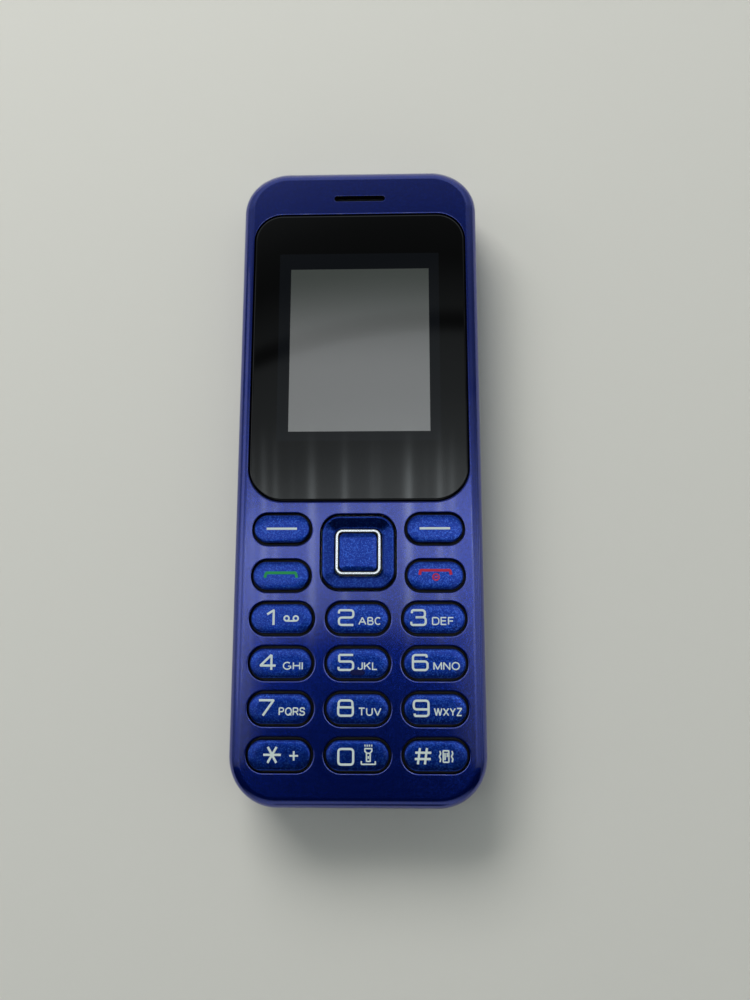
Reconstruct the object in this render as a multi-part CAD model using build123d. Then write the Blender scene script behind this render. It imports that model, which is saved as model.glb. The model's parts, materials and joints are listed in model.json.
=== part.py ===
from build123d import *
from math import radians, sin
import os

# A keypad phone lying on its back. X runs to the right of its face, Y towards the earpiece and
# Z out of the face. The origin is the middle of the back. Lengths are in mm.

# Outline of the whole phone
body_width = 47.1
body_length = 125.1
corner_radius = 9.0
face_edge_round = 2.2
back_edge_cut = 1.4
wall = 1.2
corner_cut_share = 0.7

# Clearances and overruns shared by many pieces
layer_gap = 0.05
loose_gap = 0.3
parting_gap = 0.1
overrun = 1.0

# Layers from the back to the face
back_plate = 1.1
battery_thickness = 5.2
bay_roof = 0.8
board_rise = 0.5
board_thickness = 0.8
dome_height = 0.25
mat_web = 0.3
nub_height = 0.4
key_travel = 0.3
key_flange = 0.8
face_thickness = 1.2
key_proud = 0.6

battery_z = back_plate + loose_gap
bay_top = battery_z + battery_thickness + loose_gap
board_z = bay_top + bay_roof + board_rise
board_top = board_z + board_thickness
mat_z = board_top + dome_height + layer_gap
mat_top = mat_z + mat_web
nub_top = mat_top + nub_height
key_z = nub_top + layer_gap + key_travel
face_under = key_z + key_flange + layer_gap
face_z = face_under + face_thickness
key_top = face_z + key_proud

# Battery cover rim and the split between the two housings
cover_rim = 2.6
cover_wall = 1.1
cover_nest_gap = 0.2
split_rise = 0.1
split_z = board_z + split_rise
housing_floor = 1.0
housing_step = 0.7
floor_top = battery_z + housing_floor
step_z = cover_rim + parting_gap

# Number keys, three columns and four rows up from the bottom end
keypad_foot = 6.395
keypad_side = 3.36
key_bridge = 1.89
row_bridge = 1.86
number_hole_height = 6.23
key_gap = 0.25
flange_lap = 0.55
number_hole_width = (body_width - 2 * keypad_side - 2 * key_bridge) / 3
column_pitch = number_hole_width + key_bridge
row_pitch = number_hole_height + row_bridge
bottom_row_y = -body_length / 2 + keypad_foot + number_hole_height / 2
top_row_y = bottom_row_y + 3 * row_pitch

# Function keys and the square navigation key between them
function_hole_height = 6.10
function_side = 3.535
function_bridge = 2.69
call_row_bridge = 1.765
nav_hole = 14.35
nav_hole_radius = 3.6
nav_bridge = 1.55
call_row_y = top_row_y + (number_hole_height + function_hole_height) / 2 + call_row_bridge
soft_row_y = call_row_y + function_hole_height + function_bridge
nav_y = (call_row_y + soft_row_y) / 2
function_hole_width = body_width / 2 - function_side - nav_hole / 2 - nav_bridge
function_x = nav_hole / 2 + nav_bridge + function_hole_width / 2

# Raised bar that marks the middle key
bar_width = 2.66
bar_height = 1.10
bar_proud = 0.15
bar_drop = 1.85

# Navigation ring, the rocker below it, the bright trim and the centre key
nav_tilt_degrees = 1.5
nav_gap = 0.4
nav_flange = 0.4
nav_flange_lap = 0.425
nav_flange_cut = 2.5
nav_proud = 0.5
nav_rim = 0.35
nav_dish_depth = 0.55
nav_inner = 9.05
nav_inner_radius = 1.6
rocker_margin = 0.6
rocker_band = 1.7
rocker_thickness = 0.3
trim_gap = 0.3
trim_band = 0.525
trim_radius = 1.3
trim_proud = 0.6
centre_gap = 0.2
centre_corner = 0.3
centre_flange = 0.5
centre_flange_lap = 0.575
centre_edge = 0.25
centre_nub = 3.0
nav_outer = nav_hole - 2 * nav_gap
nav_flange_width = nav_hole + 2 * nav_flange_lap
rocker_outer = nav_flange_width - 2 * rocker_margin
trim_outer = nav_inner - 2 * trim_gap
trim_inner = trim_outer - 2 * trim_band
centre_width = trim_inner - 2 * centre_gap
centre_flange_width = trim_outer + 2 * centre_flange_lap
tilt_sine = sin(radians(nav_tilt_degrees))
rocker_z = mat_top + layer_gap + rocker_outer / 2 * tilt_sine
ring_z = rocker_z + rocker_thickness + layer_gap + rocker_outer / 2 * tilt_sine
ring_room_z = key_z + centre_flange + layer_gap + nav_inner * tilt_sine + layer_gap
nav_pivot_z = ring_z + nav_flange / 2

# Lens over the display, on a shelf of the front cover
lens_side = 2.55
lens_top_margin = 10.6
lens_bridge = 2.35
lens_top_radius = 5.5
lens_foot_radius = 6.5
lens_thickness = 1.0
lens_edge = 0.3
lens_gap = 0.15
tape_thickness = 0.15
tape_inset = 0.5
shelf_thickness = 0.8
shelf_wall = 0.8
lens_foot_y = soft_row_y + function_hole_height / 2 + lens_bridge
lens_top_y = body_length / 2 - lens_top_margin
lens_y = (lens_foot_y + lens_top_y) / 2
lens_width = body_width - 2 * lens_side
lens_length = lens_top_y - lens_foot_y
lens_z = face_z - lens_thickness
shelf_top = lens_z - tape_thickness
shelf_z = shelf_top - shelf_thickness

# Display module
display_side = 4.0
display_foot_margin = 9.15
display_top_margin = 4.45
display_gap = 0.25
display_air = 0.3
display_frame_sheet = 0.15
display_frame_lip = 0.6
display_glass = 0.8
display_ledge = 3.0
display_width = lens_width - 2 * display_side
display_length = lens_length - display_foot_margin - display_top_margin
display_y = lens_foot_y + display_foot_margin + display_length / 2
display_frame_z = board_top + layer_gap
backlight_z = display_frame_z + display_frame_sheet
panel_top = lens_z - display_air
panel_z = panel_top - display_glass
flex_width = 14.0
flex_length = 6.0
flex_thickness = 0.15

# Earpiece
earpiece_drop = 7.05
earpiece_slot_width = 10.24
earpiece_slot_height = 1.18
mesh_lap = 0.7
mesh_thickness = 0.2
receiver_width = 14.0
receiver_height = 4.8
earpiece_y = body_length / 2 - earpiece_drop

# Screw pillars at the corners of both housings
pillar_side = 8.55
pillar_end = 4.05
pillar_width = 3.0
pillar_drop = 0.35
pillar_x = body_width / 2 - pillar_side
pillar_y = body_length / 2 - pillar_end
pillar_z = board_z - pillar_drop

# Circuit board and what is soldered to it
board_side = 0.95
board_end = 4.85
board_corner = 2.0
board_end_y = body_length / 2 - wall - board_end
dome_width = 3.6
dome_taper_degrees = 70.0
led_width = 1.6
led_length = 0.8
can_height = 1.6
can_width = 16.0
can_side = 2.4
can_gap = 3.2
can_end_gap = 9.25
large_can_share = 0.6875
small_can_width = 9.0

# Battery bay and battery
bay_foot = 16.0
bay_wall = 0.9
battery_width = 33.0
battery_length = 53.0
battery_corner = 0.6
pad_width = 2.2
pad_depth = 0.4
pad_height = 3.0
pad_pitch = 3.2
pad_count = 3
contact_block_width = 11.0
contact_block_depth = 2.6
contact_block_height = 3.2
blade_width = 1.4
blade_height = 1.6
bay_width = battery_width + 2 * loose_gap
bay_foot_y = -body_length / 2 + bay_foot
battery_y = bay_foot_y + bay_wall + loose_gap + battery_length / 2
bay_length = battery_length + 2 * loose_gap
battery_top_y = battery_y + battery_length / 2
bay_top_y = battery_top_y + loose_gap + bay_wall

# Card holders below the battery
sim_width = 26.0
sim_length = 15.5
sim_height = 1.2
sim_sheet = 0.2
sim_pitch = 17.5
sim_drop = 5.5
sim_mouth_share = 0.62
memory_width = 15.0
memory_length = 12.0
memory_drop = 3.2
holder_gap = 0.3

# Loudspeaker, camera, torch and headset jack above the battery
speaker_width = 15.0
speaker_length = 11.0
speaker_height = 3.2
speaker_corner = 1.5
speaker_edge = 1.2
speaker_cone_depth = 0.5
speaker_side = 14.05
speaker_rise = 5.0
gasket_height = 0.3
grille_slots = 5
grille_slot_width = 9.0
grille_slot_height = 1.0
grille_pitch = 1.9
camera_side = 13.05
camera_drop = 19.5
camera_width = 7.0
camera_height = 3.6
camera_barrel_width = 4.6
camera_window_width = 5.4
camera_window_corner = 1.2
camera_window_thickness = 0.8
camera_window_sink = 0.15
camera_gap = 0.15
torch_radius = 1.9
torch_gap = 0.1
torch_lens_length = 1.4
torch_led_width = 3.2
torch_led_length = 1.8
torch_led_height = 2.6
torch_z = 5.6
jack_from_pillar = 6.0
jack_z = 5.75
jack_bore_radius = 1.8
jack_bore_length = 14.0
jack_nose_radius = 2.15
jack_nose_gap = 0.1
jack_width = 6.0
jack_height = 4.6
jack_back_wall = 0.8
end_sink = 0.1
speaker_x = body_width / 2 - speaker_side
jack_x = pillar_x - jack_from_pillar

# Socket, microphone, motor and antenna below the battery
socket_width = 7.5
socket_height = 2.5
socket_depth = 5.2
socket_sheet = 0.3
socket_cavity_depth = 4.2
tongue_width = 3.7
tongue_thickness = 0.6
tongue_length = 3.2
microphone_z = 5.7
microphone_width = 3.8
microphone_depth = 1.1
microphone_slot_width = 1.4
microphone_slot_height = 0.6
motor_radius = 4.0
motor_height = 2.7
motor_side = 12.55
motor_rise = 6.4
antenna_width = 15.0
antenna_length = 7.5
antenna_sheet = 0.2
antenna_slit = 0.8
antenna_side = 14.05
antenna_rise = 5.6
microphone_x = (socket_width + 2 * pillar_x - pillar_width) / 4
motor_x = motor_side - body_width / 2
antenna_x = body_width / 2 - antenna_side

# Thumb notch and straight tabs of the battery cover
notch_width = 9.0
notch_height = 0.8
tab_width = 5.0
tab_thickness = 0.8
tab_rise = 1.2
tab_gap = 0.2
tab_pitch = 62.0


def cut_slab(width, length, cut, low, high):
    """Upright slab with four straight-cut corners, centred on the Z axis."""
    return Pos(0, 0, low) * extrude(chamfer(Rectangle(width, length).vertices(), cut), high - low)


def inset_slab(inset, low, high):
    """Upright slab that follows the body outline at an inset, its corners cut straight."""
    cut = (corner_radius - inset) * corner_cut_share
    return cut_slab(body_width - 2 * inset, body_length - 2 * inset, cut, low, high)


def slab(width, length, radius, low, high):
    """Upright slab with four round corners, centred on the Z axis."""
    return Pos(0, 0, low) * extrude(RectangleRounded(width, length, radius), high - low)


def block(width, length, low, high, x=0, y=0):
    """Upright box with its middle at x, y."""
    return Pos(x, y, (low + high) / 2) * Box(width, length, high - low)


def post(radius, low, high, x=0, y=0):
    """Upright cylinder."""
    return Pos(x, y, (low + high) / 2) * Cylinder(radius, high - low)


def rod_along_y(radius, start, end, x, z):
    """Cylinder that runs along Y from start to end."""
    return Pos(x, (start + end) / 2, z) * Rot(90, 0, 0) * Cylinder(radius, end - start)


def pill(width, height, low, high, x=0, y=0):
    """Upright prism with half-round ends."""
    return Pos(x, y, low) * extrude(SlotOverall(width, height), high - low)


def group(solids):
    """Separate equal solids kept in one node."""
    return Compound(children=list(solids))


def pillar_places():
    """The four screw pillars, near the corners."""
    return [(side * pillar_x, end * pillar_y) for side in (-1, 1) for end in (-1, 1)]


def key_places():
    """Each pill key's name, centre and hole size."""
    places = {}
    rows = (("key_1", "key_2", "key_3"), ("key_4", "key_5", "key_6"),
            ("key_7", "key_8", "key_9"), ("star_key", "key_0", "hash_key"))
    for row, names in enumerate(rows):
        for column, name in enumerate(names):
            x = (column - 1) * column_pitch
            y = top_row_y - row * row_pitch
            places[name] = (x, y, number_hole_width, number_hole_height)
    functions = {"left_soft_key": (-1, soft_row_y), "right_soft_key": (1, soft_row_y),
                 "call_key": (-1, call_row_y), "end_key": (1, call_row_y)}
    for name, (side, y) in functions.items():
        places[name] = (side * function_x, y, function_hole_width, function_hole_height)
    return places


def lens_face(grow):
    """The lens outline, with its own radii at top and foot, grown all round."""
    face = Rectangle(lens_width + 2 * grow, lens_length + 2 * grow)
    face = fillet(face.vertices().group_by(Axis.Y)[-1], lens_top_radius + grow)
    return fillet(face.vertices().group_by(Axis.Y)[0], lens_foot_radius + grow)


def lens_prism(grow, low, high):
    """Upright prism of the lens outline."""
    return Pos(0, lens_y, low) * extrude(lens_face(grow), high - low)


def front_room():
    """The space inside the front cover, lower under the lens shelf."""
    room = inset_slab(wall, split_z - overrun, face_under)
    shelf_length = lens_length + 2 * (lens_gap + shelf_wall)
    return room - block(body_width, shelf_length, shelf_z, face_z, 0, lens_y)


def front_cover():
    """Shell of the face with its lens shelf, key holes, earpiece slot and screw pillars."""
    shell = slab(body_width, body_length, corner_radius, split_z, face_z)
    shell = fillet(shell.faces().sort_by(Axis.Z)[-1].edges(), face_edge_round)
    shell -= front_room()
    shell -= lens_prism(lens_gap, shelf_top, face_z + overrun)
    shell -= block(display_width + 2 * display_gap, display_length + 2 * display_gap,
                   shelf_z - overrun, face_z, 0, display_y)
    low, high = face_under - overrun, face_z + overrun
    for x, y, width, height in key_places().values():
        shell -= pill(width, height, low, high, x, y)
    shell -= Pos(0, nav_y, 0) * slab(nav_hole, nav_hole, nav_hole_radius, low, high)
    shell -= pill(earpiece_slot_width, earpiece_slot_height, low, high, 0, earpiece_y)
    for x, y in pillar_places():
        shell += block(pillar_width, pillar_width, pillar_z + layer_gap, face_under, x, y)
    return shell


def display_lens():
    """Glossy window with an eased upper edge."""
    lens = lens_prism(0, lens_z, face_z)
    return chamfer(lens.faces().sort_by(Axis.Z)[-1].edges(), lens_edge)


def lens_tape():
    """Thin adhesive frame between the lens and its shelf."""
    cut = lens_foot_radius * corner_cut_share
    tape = Pos(0, lens_y, 0) * cut_slab(lens_width - 2 * tape_inset, lens_length - 2 * tape_inset, cut,
                                        shelf_top, lens_z)
    return tape - block(display_width + 2 * display_gap, display_length + 2 * display_gap,
                        shelf_z, face_z, 0, display_y)


def pill_key(x, y, width, height):
    """Hard key cap on a square flange that keeps it below the face."""
    cap = pill(width - 2 * key_gap, height - 2 * key_gap, key_z + key_flange, key_top, x, y)
    return cap + block(width + 2 * flange_lap, height + 2 * flange_lap, key_z, key_z + key_flange, x, y)


def keys():
    """All the pill keys, with the raised bar on the middle one."""
    made = {name: pill_key(*place) for name, place in key_places().items()}
    x, y, _, _ = key_places()["key_5"]
    made["key_5"] += pill(bar_width, bar_height, key_top - bar_proud, key_top + bar_proud, x, y - bar_drop)
    return made


def nav_ring():
    """Square rocking key, dished towards its middle."""
    top = face_z + nav_proud
    ring = slab(nav_outer, nav_outer, nav_hole_radius - nav_gap, ring_z, top)
    ring += cut_slab(nav_flange_width, nav_flange_width, nav_flange_cut, ring_z, ring_z + nav_flange)
    dish_width = nav_outer - 2 * nav_rim
    dish_radius = nav_hole_radius - nav_gap - nav_rim
    slope = (dish_width - nav_inner) / 2
    dish = Rot(-90, 0, 0) * Wedge(dish_width, nav_dish_depth, dish_width, slope, slope,
                                  dish_width - slope, dish_width - slope)
    dish = Pos(0, 0, top - nav_dish_depth / 2) * dish
    ring -= dish & slab(dish_width, dish_width, dish_radius, ring_z, top)
    ring -= slab(nav_inner, nav_inner, nav_inner_radius, ring_z - overrun, top)
    room_width = centre_flange_width + 2 * nav_gap
    ring -= block(room_width, room_width, ring_z - overrun, ring_room_z)
    return Pos(0, nav_y, 0) * ring


def nav_rocker():
    """Square frame that carries the ring over the four direction switches."""
    inner = rocker_outer - 2 * rocker_band
    top = rocker_z + rocker_thickness
    frame = block(rocker_outer, rocker_outer, rocker_z, top)
    return Pos(0, nav_y, 0) * (frame - block(inner, inner, rocker_z - overrun, top + overrun))


def centre_key():
    """Square centre key with its flange below the ring."""
    cap = cut_slab(centre_width, centre_width, centre_corner, key_z, face_z + trim_proud)
    cap = chamfer(cap.faces().sort_by(Axis.Z)[-1].edges(), centre_edge)
    flange = block(centre_flange_width, centre_flange_width, key_z, key_z + centre_flange)
    return Pos(0, nav_y, 0) * (cap + flange)


def centre_trim():
    """Plated frame that stands on the centre key's flange."""
    low = key_z + centre_flange
    frame = slab(trim_outer, trim_outer, trim_radius, low, face_z + trim_proud)
    frame -= cut_slab(trim_inner, trim_inner, centre_corner, low - overrun, face_z + trim_proud + overrun)
    return Pos(0, nav_y, 0) * frame


def switch_places():
    """Centres of all the switches: one for each key, four round the ring and one in its middle."""
    places = [(x, y) for x, y, _, _ in key_places().values()]
    reach = rocker_outer / 2 - rocker_band / 2
    places += [(reach, nav_y), (-reach, nav_y), (0, nav_y + reach), (0, nav_y - reach), (0, nav_y)]
    return places


def keypad_mat():
    """Rubber sheet with a plunger under each key."""
    margin = (body_width / 2 - wall - column_pitch - number_hole_width / 2) / 2
    width = 2 * (column_pitch + number_hole_width / 2 + margin)
    foot = bottom_row_y - number_hole_height / 2
    head = soft_row_y + function_hole_height / 2
    mat = block(width, head - foot, mat_z, mat_top, 0, (head + foot) / 2)
    for x, y, hole_width, hole_height in key_places().values():
        mat += block(hole_width / 2, hole_height / 2, mat_top, nub_top, x, y)
    return mat + block(centre_nub, centre_nub, mat_top, nub_top, 0, nav_y)


def metal_domes():
    """Four-sided snap domes on the board, one at each switch."""
    domes = [Pos(x, y, board_top) * extrude(Rectangle(dome_width, dome_width), dome_height,
                                            taper=dome_taper_degrees) for x, y in switch_places()]
    return group(domes)


def keypad_lights():
    """Small lights between the rows of keys."""
    lights = []
    for row in range(3):
        y = top_row_y - (row + 1 / 2) * row_pitch
        for side in (-1, 1):
            lights.append(block(led_width, led_length, board_top, board_top + dome_height,
                                side * column_pitch / 2, y))
    return group(lights)


def circuit_board():
    """Main board behind the display and the keypad."""
    width = body_width - 2 * (wall + board_side)
    return cut_slab(width, 2 * board_end_y, board_corner, board_z, board_top)


def shield_cans():
    """Pressed cans over the radio parts on the back of the board."""
    high = board_z - layer_gap
    low = high - can_height
    start = bay_top_y + can_gap
    end = board_end_y - can_end_gap
    large_length = (end - start - can_gap) * large_can_share
    small_length = end - start - can_gap - large_length
    x = -(body_width / 2 - wall - can_side) + can_width / 2
    large = block(can_width, large_length, low, high, x, start + large_length / 2)
    return group([large, block(small_can_width, small_length, low, high, 0, end - small_length / 2)])


def display_frame():
    """Metal tray round the display module."""
    lip_z = panel_z + display_frame_lip
    tray = block(display_width, display_length, display_frame_z, lip_z, 0, display_y)
    inner_width = display_width - 2 * display_frame_sheet
    inner_length = display_length - 2 * display_frame_sheet
    return tray - block(inner_width, inner_length, backlight_z, lip_z + overrun, 0, display_y)


def display_backlight():
    """Light guide behind the panel."""
    inset = 2 * (display_frame_sheet + layer_gap)
    return block(display_width - inset, display_length - inset, backlight_z, panel_z, 0, display_y)


def display_panel():
    """Two glasses, the upper one shorter so that a ledge is left for the driver chip."""
    inset = 2 * (display_frame_sheet + layer_gap)
    length = display_length - inset
    middle = panel_z + display_glass / 2
    panel = block(display_width - inset, length, panel_z, middle, 0, display_y)
    upper = block(display_width - inset, length - display_ledge, middle, panel_top,
                  0, display_y + display_ledge / 2)
    return panel + upper


def display_flex():
    """Flat cable from the display's foot to the board."""
    end = display_y - display_length / 2 - layer_gap
    strip = block(flex_width, flex_length, board_top, board_top + flex_thickness, 0, end - flex_length / 2)
    riser = block(flex_width, flex_thickness, board_top, panel_z, 0, end - flex_thickness / 2)
    return strip + riser


def earpiece_mesh():
    """Dust mesh behind the earpiece slot."""
    width = earpiece_slot_width + 2 * mesh_lap
    height = earpiece_slot_height + 2 * mesh_lap
    return block(width, height, face_under - mesh_thickness, face_under, 0, earpiece_y)


def earpiece_receiver():
    """Receiver capsule between the board and the mesh."""
    high = face_under - mesh_thickness - layer_gap
    return block(receiver_width, receiver_height, board_top + layer_gap, high, 0, earpiece_y)


def holder_places():
    """Centre and size of each card holder in the battery bay: two for subscriber cards, one for memory."""
    first = battery_top_y - sim_drop - sim_length / 2
    second = first - sim_pitch
    memory = second - sim_length / 2 - memory_drop - memory_length / 2
    return [(first, sim_width, sim_length), (second, sim_width, sim_length),
            (memory, memory_width, memory_length)]


def card_holder(y, width, length):
    """Pressed sheet cage under the board, open where the contacts show."""
    high = board_z - layer_gap
    low = high - sim_height
    cage = block(width, length, low, high, 0, y)
    cage -= block(width - 2 * sim_sheet, length, low + sim_sheet, high - sim_sheet, 0, y - sim_sheet)
    mouth = block(width * sim_mouth_share, length * sim_mouth_share, low - overrun, low + overrun / 2,
                  0, y - length / 2)
    return cage - mouth


def rear_rooms():
    """The space inside the rear housing, wider above the step."""
    upper = inset_slab(wall, step_z + housing_step, split_z + overrun)
    return upper + inset_slab(cover_wall + cover_nest_gap + wall, floor_top, split_z + overrun)


def rear_housing():
    """Tub behind the board with the battery bay, screw pillars and the mouths of the sockets."""
    tub = slab(body_width, body_length, corner_radius, step_z, split_z - parting_gap)
    tub += inset_slab(cover_wall + cover_nest_gap, battery_z, step_z + housing_step)
    tub -= rear_rooms()
    tub += block(bay_width + 2 * bay_wall, bay_length + 2 * bay_wall, battery_z, bay_top + bay_roof,
                 0, battery_y)
    tub -= block(bay_width, bay_length, battery_z - overrun, bay_top, 0, battery_y)
    for x, y in pillar_places():
        tub += block(pillar_width, pillar_width, battery_z, pillar_z, x, y)
    for y, width, length in holder_places():
        tub -= block(width + 2 * holder_gap, length + 2 * holder_gap, bay_top - overrun,
                     bay_top + bay_roof + overrun, 0, y)
    tub -= block(contact_block_width + 2 * layer_gap, 2 * bay_wall, contact_z(), board_z,
                 0, bay_top_y - bay_wall / 2)
    for mouth in housing_mouths():
        tub -= mouth
    return tub


def housing_mouths():
    """Openings of the housing for sound, camera, torch, jack, socket, microphone and cover tabs."""
    end = body_length / 2
    low, high = battery_z - overrun, floor_top + overrun
    x, y = camera_place()
    hole = camera_barrel_width + 2 * loose_gap
    mouths = [speaker_window(low, high),
              block(hole, hole, low, high, x, y),
              rod_along_y(torch_radius + torch_gap, end - wall - overrun, end + overrun, 0, torch_z),
              rod_along_y(jack_nose_radius + jack_nose_gap, end - wall - overrun, end + overrun,
                          jack_x, jack_z),
              block(microphone_slot_width, 2 * (wall + overrun), microphone_z - microphone_slot_height / 2,
                    microphone_z + microphone_slot_height / 2, microphone_x, -end),
              block(socket_width + 2 * layer_gap, 2 * (wall + overrun),
                    board_z - socket_height - 2 * layer_gap, board_z, 0, -end)]
    for x, y in tab_places():
        mouths.append(block(tab_thickness + cover_nest_gap + 2 * tab_gap, tab_width + 2 * tab_gap,
                            battery_z - overrun, cover_rim + tab_rise + tab_gap, x, y))
    return mouths


def contact_z():
    """Lower face of the battery contact block."""
    return board_z - layer_gap - contact_block_height


def contact_block():
    """Plastic block in the bay's end wall."""
    low, high = contact_z() + layer_gap, board_z - layer_gap
    start = battery_top_y + loose_gap + layer_gap
    return block(contact_block_width, contact_block_depth, low, high, 0, start + contact_block_depth / 2)


def battery_contacts():
    """Spring blades that reach from the block towards the battery's pads."""
    start = battery_top_y + layer_gap
    end = battery_top_y + loose_gap + layer_gap
    low = contact_z() + layer_gap
    blades = []
    for index in range(pad_count):
        x = (index - (pad_count - 1) / 2) * pad_pitch
        blades.append(block(blade_width, end - start, low, low + blade_height, x, (start + end) / 2))
    return group(blades)


def battery():
    """Flat pack with contact pockets in its upper end."""
    pack = Pos(0, battery_y, 0) * cut_slab(battery_width, battery_length, battery_corner,
                                           battery_z, battery_z + battery_thickness)
    low = contact_z() + layer_gap + (blade_height - pad_height) / 2
    for index in range(pad_count):
        x = (index - (pad_count - 1) / 2) * pad_pitch
        pack -= block(pad_width, 2 * pad_depth, low, low + pad_height, x, battery_top_y)
    return pack


def speaker_place():
    """Centre of the loudspeaker, above the battery bay."""
    return speaker_x, bay_top_y + speaker_rise + speaker_length / 2


def speaker_window(low, high):
    """Upright prism of the speaker's open front."""
    window = cut_slab(speaker_width - 2 * speaker_edge, speaker_length - 2 * speaker_edge,
                      speaker_corner, low, high)
    return Pos(*speaker_place()) * window


def loudspeaker():
    """Flat speaker with its cone facing the back."""
    low = floor_top + gasket_height
    speaker = cut_slab(speaker_width, speaker_length, speaker_corner, low, low + speaker_height)
    return Pos(*speaker_place()) * speaker - speaker_window(low - overrun, low + speaker_cone_depth)


def speaker_gasket():
    """Foam frame between the speaker and the floor."""
    frame = Pos(*speaker_place()) * cut_slab(speaker_width, speaker_length, speaker_corner, floor_top,
                                             floor_top + gasket_height)
    return frame - speaker_window(battery_z, floor_top + overrun)


def camera_place():
    """Centre of the rear camera."""
    return -(body_width / 2 - camera_side), body_length / 2 - camera_drop


def camera_module():
    """Camera body with its barrel through the floor."""
    x, y = camera_place()
    body = block(camera_width, camera_width, floor_top + layer_gap, floor_top + camera_height, x, y)
    return body + block(camera_barrel_width, camera_barrel_width, battery_z, floor_top + camera_height, x, y)


def camera_window():
    """Clear pane in the battery cover."""
    pane = cut_slab(camera_window_width, camera_window_width, camera_window_corner,
                    camera_window_sink, camera_window_sink + camera_window_thickness)
    return Pos(*camera_place()) * pane


def torch_lens():
    """Clear plug in the top end."""
    end = body_length / 2 - end_sink
    return rod_along_y(torch_radius, end - torch_lens_length, end, 0, torch_z)


def torch_led():
    """Light behind the torch lens."""
    end = body_length / 2 - end_sink - torch_lens_length - layer_gap
    high = torch_z + torch_led_height / 2
    return block(torch_led_width, torch_led_length, torch_z - torch_led_height / 2, high,
                 0, end - torch_led_length / 2)


def headset_jack():
    """Round socket with a blind bore from the top end."""
    end = body_length / 2 - end_sink
    back = end - jack_bore_length - jack_back_wall
    front = body_length / 2 - cover_wall - cover_nest_gap - wall - layer_gap
    body = block(jack_width, front - back, jack_z - jack_height / 2, jack_z + jack_height / 2,
                 jack_x, (front + back) / 2)
    body += rod_along_y(jack_nose_radius, front - overrun, end, jack_x, jack_z)
    return body - rod_along_y(jack_bore_radius, end - jack_bore_length, end + overrun, jack_x, jack_z)


def usb_socket():
    """Pressed shell of the charging socket with its contact tongue."""
    high = board_z - layer_gap
    low = high - socket_height
    mouth = -body_length / 2 + end_sink
    shell = block(socket_width, socket_depth, low, high, 0, mouth + socket_depth / 2)
    shell -= block(socket_width - 2 * socket_sheet, 2 * socket_cavity_depth,
                   low + socket_sheet, high - socket_sheet, 0, mouth)
    tongue_low = (low + high - tongue_thickness) / 2
    back = mouth + socket_cavity_depth
    return shell + block(tongue_width, tongue_length, tongue_low, tongue_low + tongue_thickness,
                         0, back - tongue_length / 2)


def microphone():
    """Microphone capsule that faces the bottom end."""
    start = -body_length / 2 + cover_wall + cover_nest_gap + wall + layer_gap
    return block(microphone_width, microphone_depth, microphone_z - microphone_width / 2,
                 microphone_z + microphone_width / 2, microphone_x, start + microphone_depth / 2)


def microphone_boot():
    """Rubber frame that joins the capsule to the sound slot."""
    start = -body_length / 2 + wall + layer_gap
    end = -body_length / 2 + cover_wall + cover_nest_gap + wall
    half = microphone_width / 2
    middle = (start + end) / 2
    low = microphone_z - microphone_slot_height / 2
    boot = block(2 * half, end - start, microphone_z - half, microphone_z + half, microphone_x, middle)
    return boot - block(microphone_slot_width, 2 * (end - start), low, low + microphone_slot_height,
                        microphone_x, middle)


def vibration_motor():
    """Flat coin motor, sealed, on the floor."""
    low = floor_top + layer_gap
    return post(motor_radius, low, low + motor_height, motor_x, bay_foot_y - motor_rise)


def antenna():
    """Folded sheet antenna on the floor, slit from one side."""
    y = -body_length / 2 + wall + antenna_rise + antenna_length / 2
    sheet = block(antenna_width, antenna_length, floor_top, floor_top + antenna_sheet, antenna_x, y)
    slit = block(antenna_width, antenna_slit, floor_top - overrun, floor_top + overrun,
                 antenna_x - antenna_slit, y)
    return sheet - slit


def tab_places():
    """Centres of the cover's four tabs, against the rim's long sides."""
    x = body_width / 2 - cover_wall - tab_thickness / 2
    middle = battery_y
    return [(side * x, middle + end * tab_pitch / 2) for side in (-1, 1) for end in (-1, 1)]


def battery_cover():
    """Removable back with its rim, grille, camera hole, thumb notch and tabs."""
    tray = slab(body_width, body_length, corner_radius, 0, cover_rim)
    tray = chamfer(tray.faces().sort_by(Axis.Z)[0].edges(), back_edge_cut)
    tray -= inset_slab(cover_wall, back_plate, cover_rim + overrun)
    x, y = speaker_place()
    for index in range(grille_slots):
        shift = (index - (grille_slots - 1) / 2) * grille_pitch
        tray -= block(grille_slot_width, grille_slot_height, -overrun, back_plate + overrun, x, y + shift)
    hole = camera_window_width + 2 * camera_gap
    tray -= Pos(*camera_place()) * cut_slab(hole, hole, camera_window_corner, -overrun, back_plate + overrun)
    tray -= block(notch_width, 2 * (cover_wall + layer_gap), cover_rim - notch_height, cover_rim + overrun,
                  0, -body_length / 2)
    for x, y in tab_places():
        tray += block(tab_thickness, tab_width, back_plate, cover_rim + tab_rise, x, y)
    return tray


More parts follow.
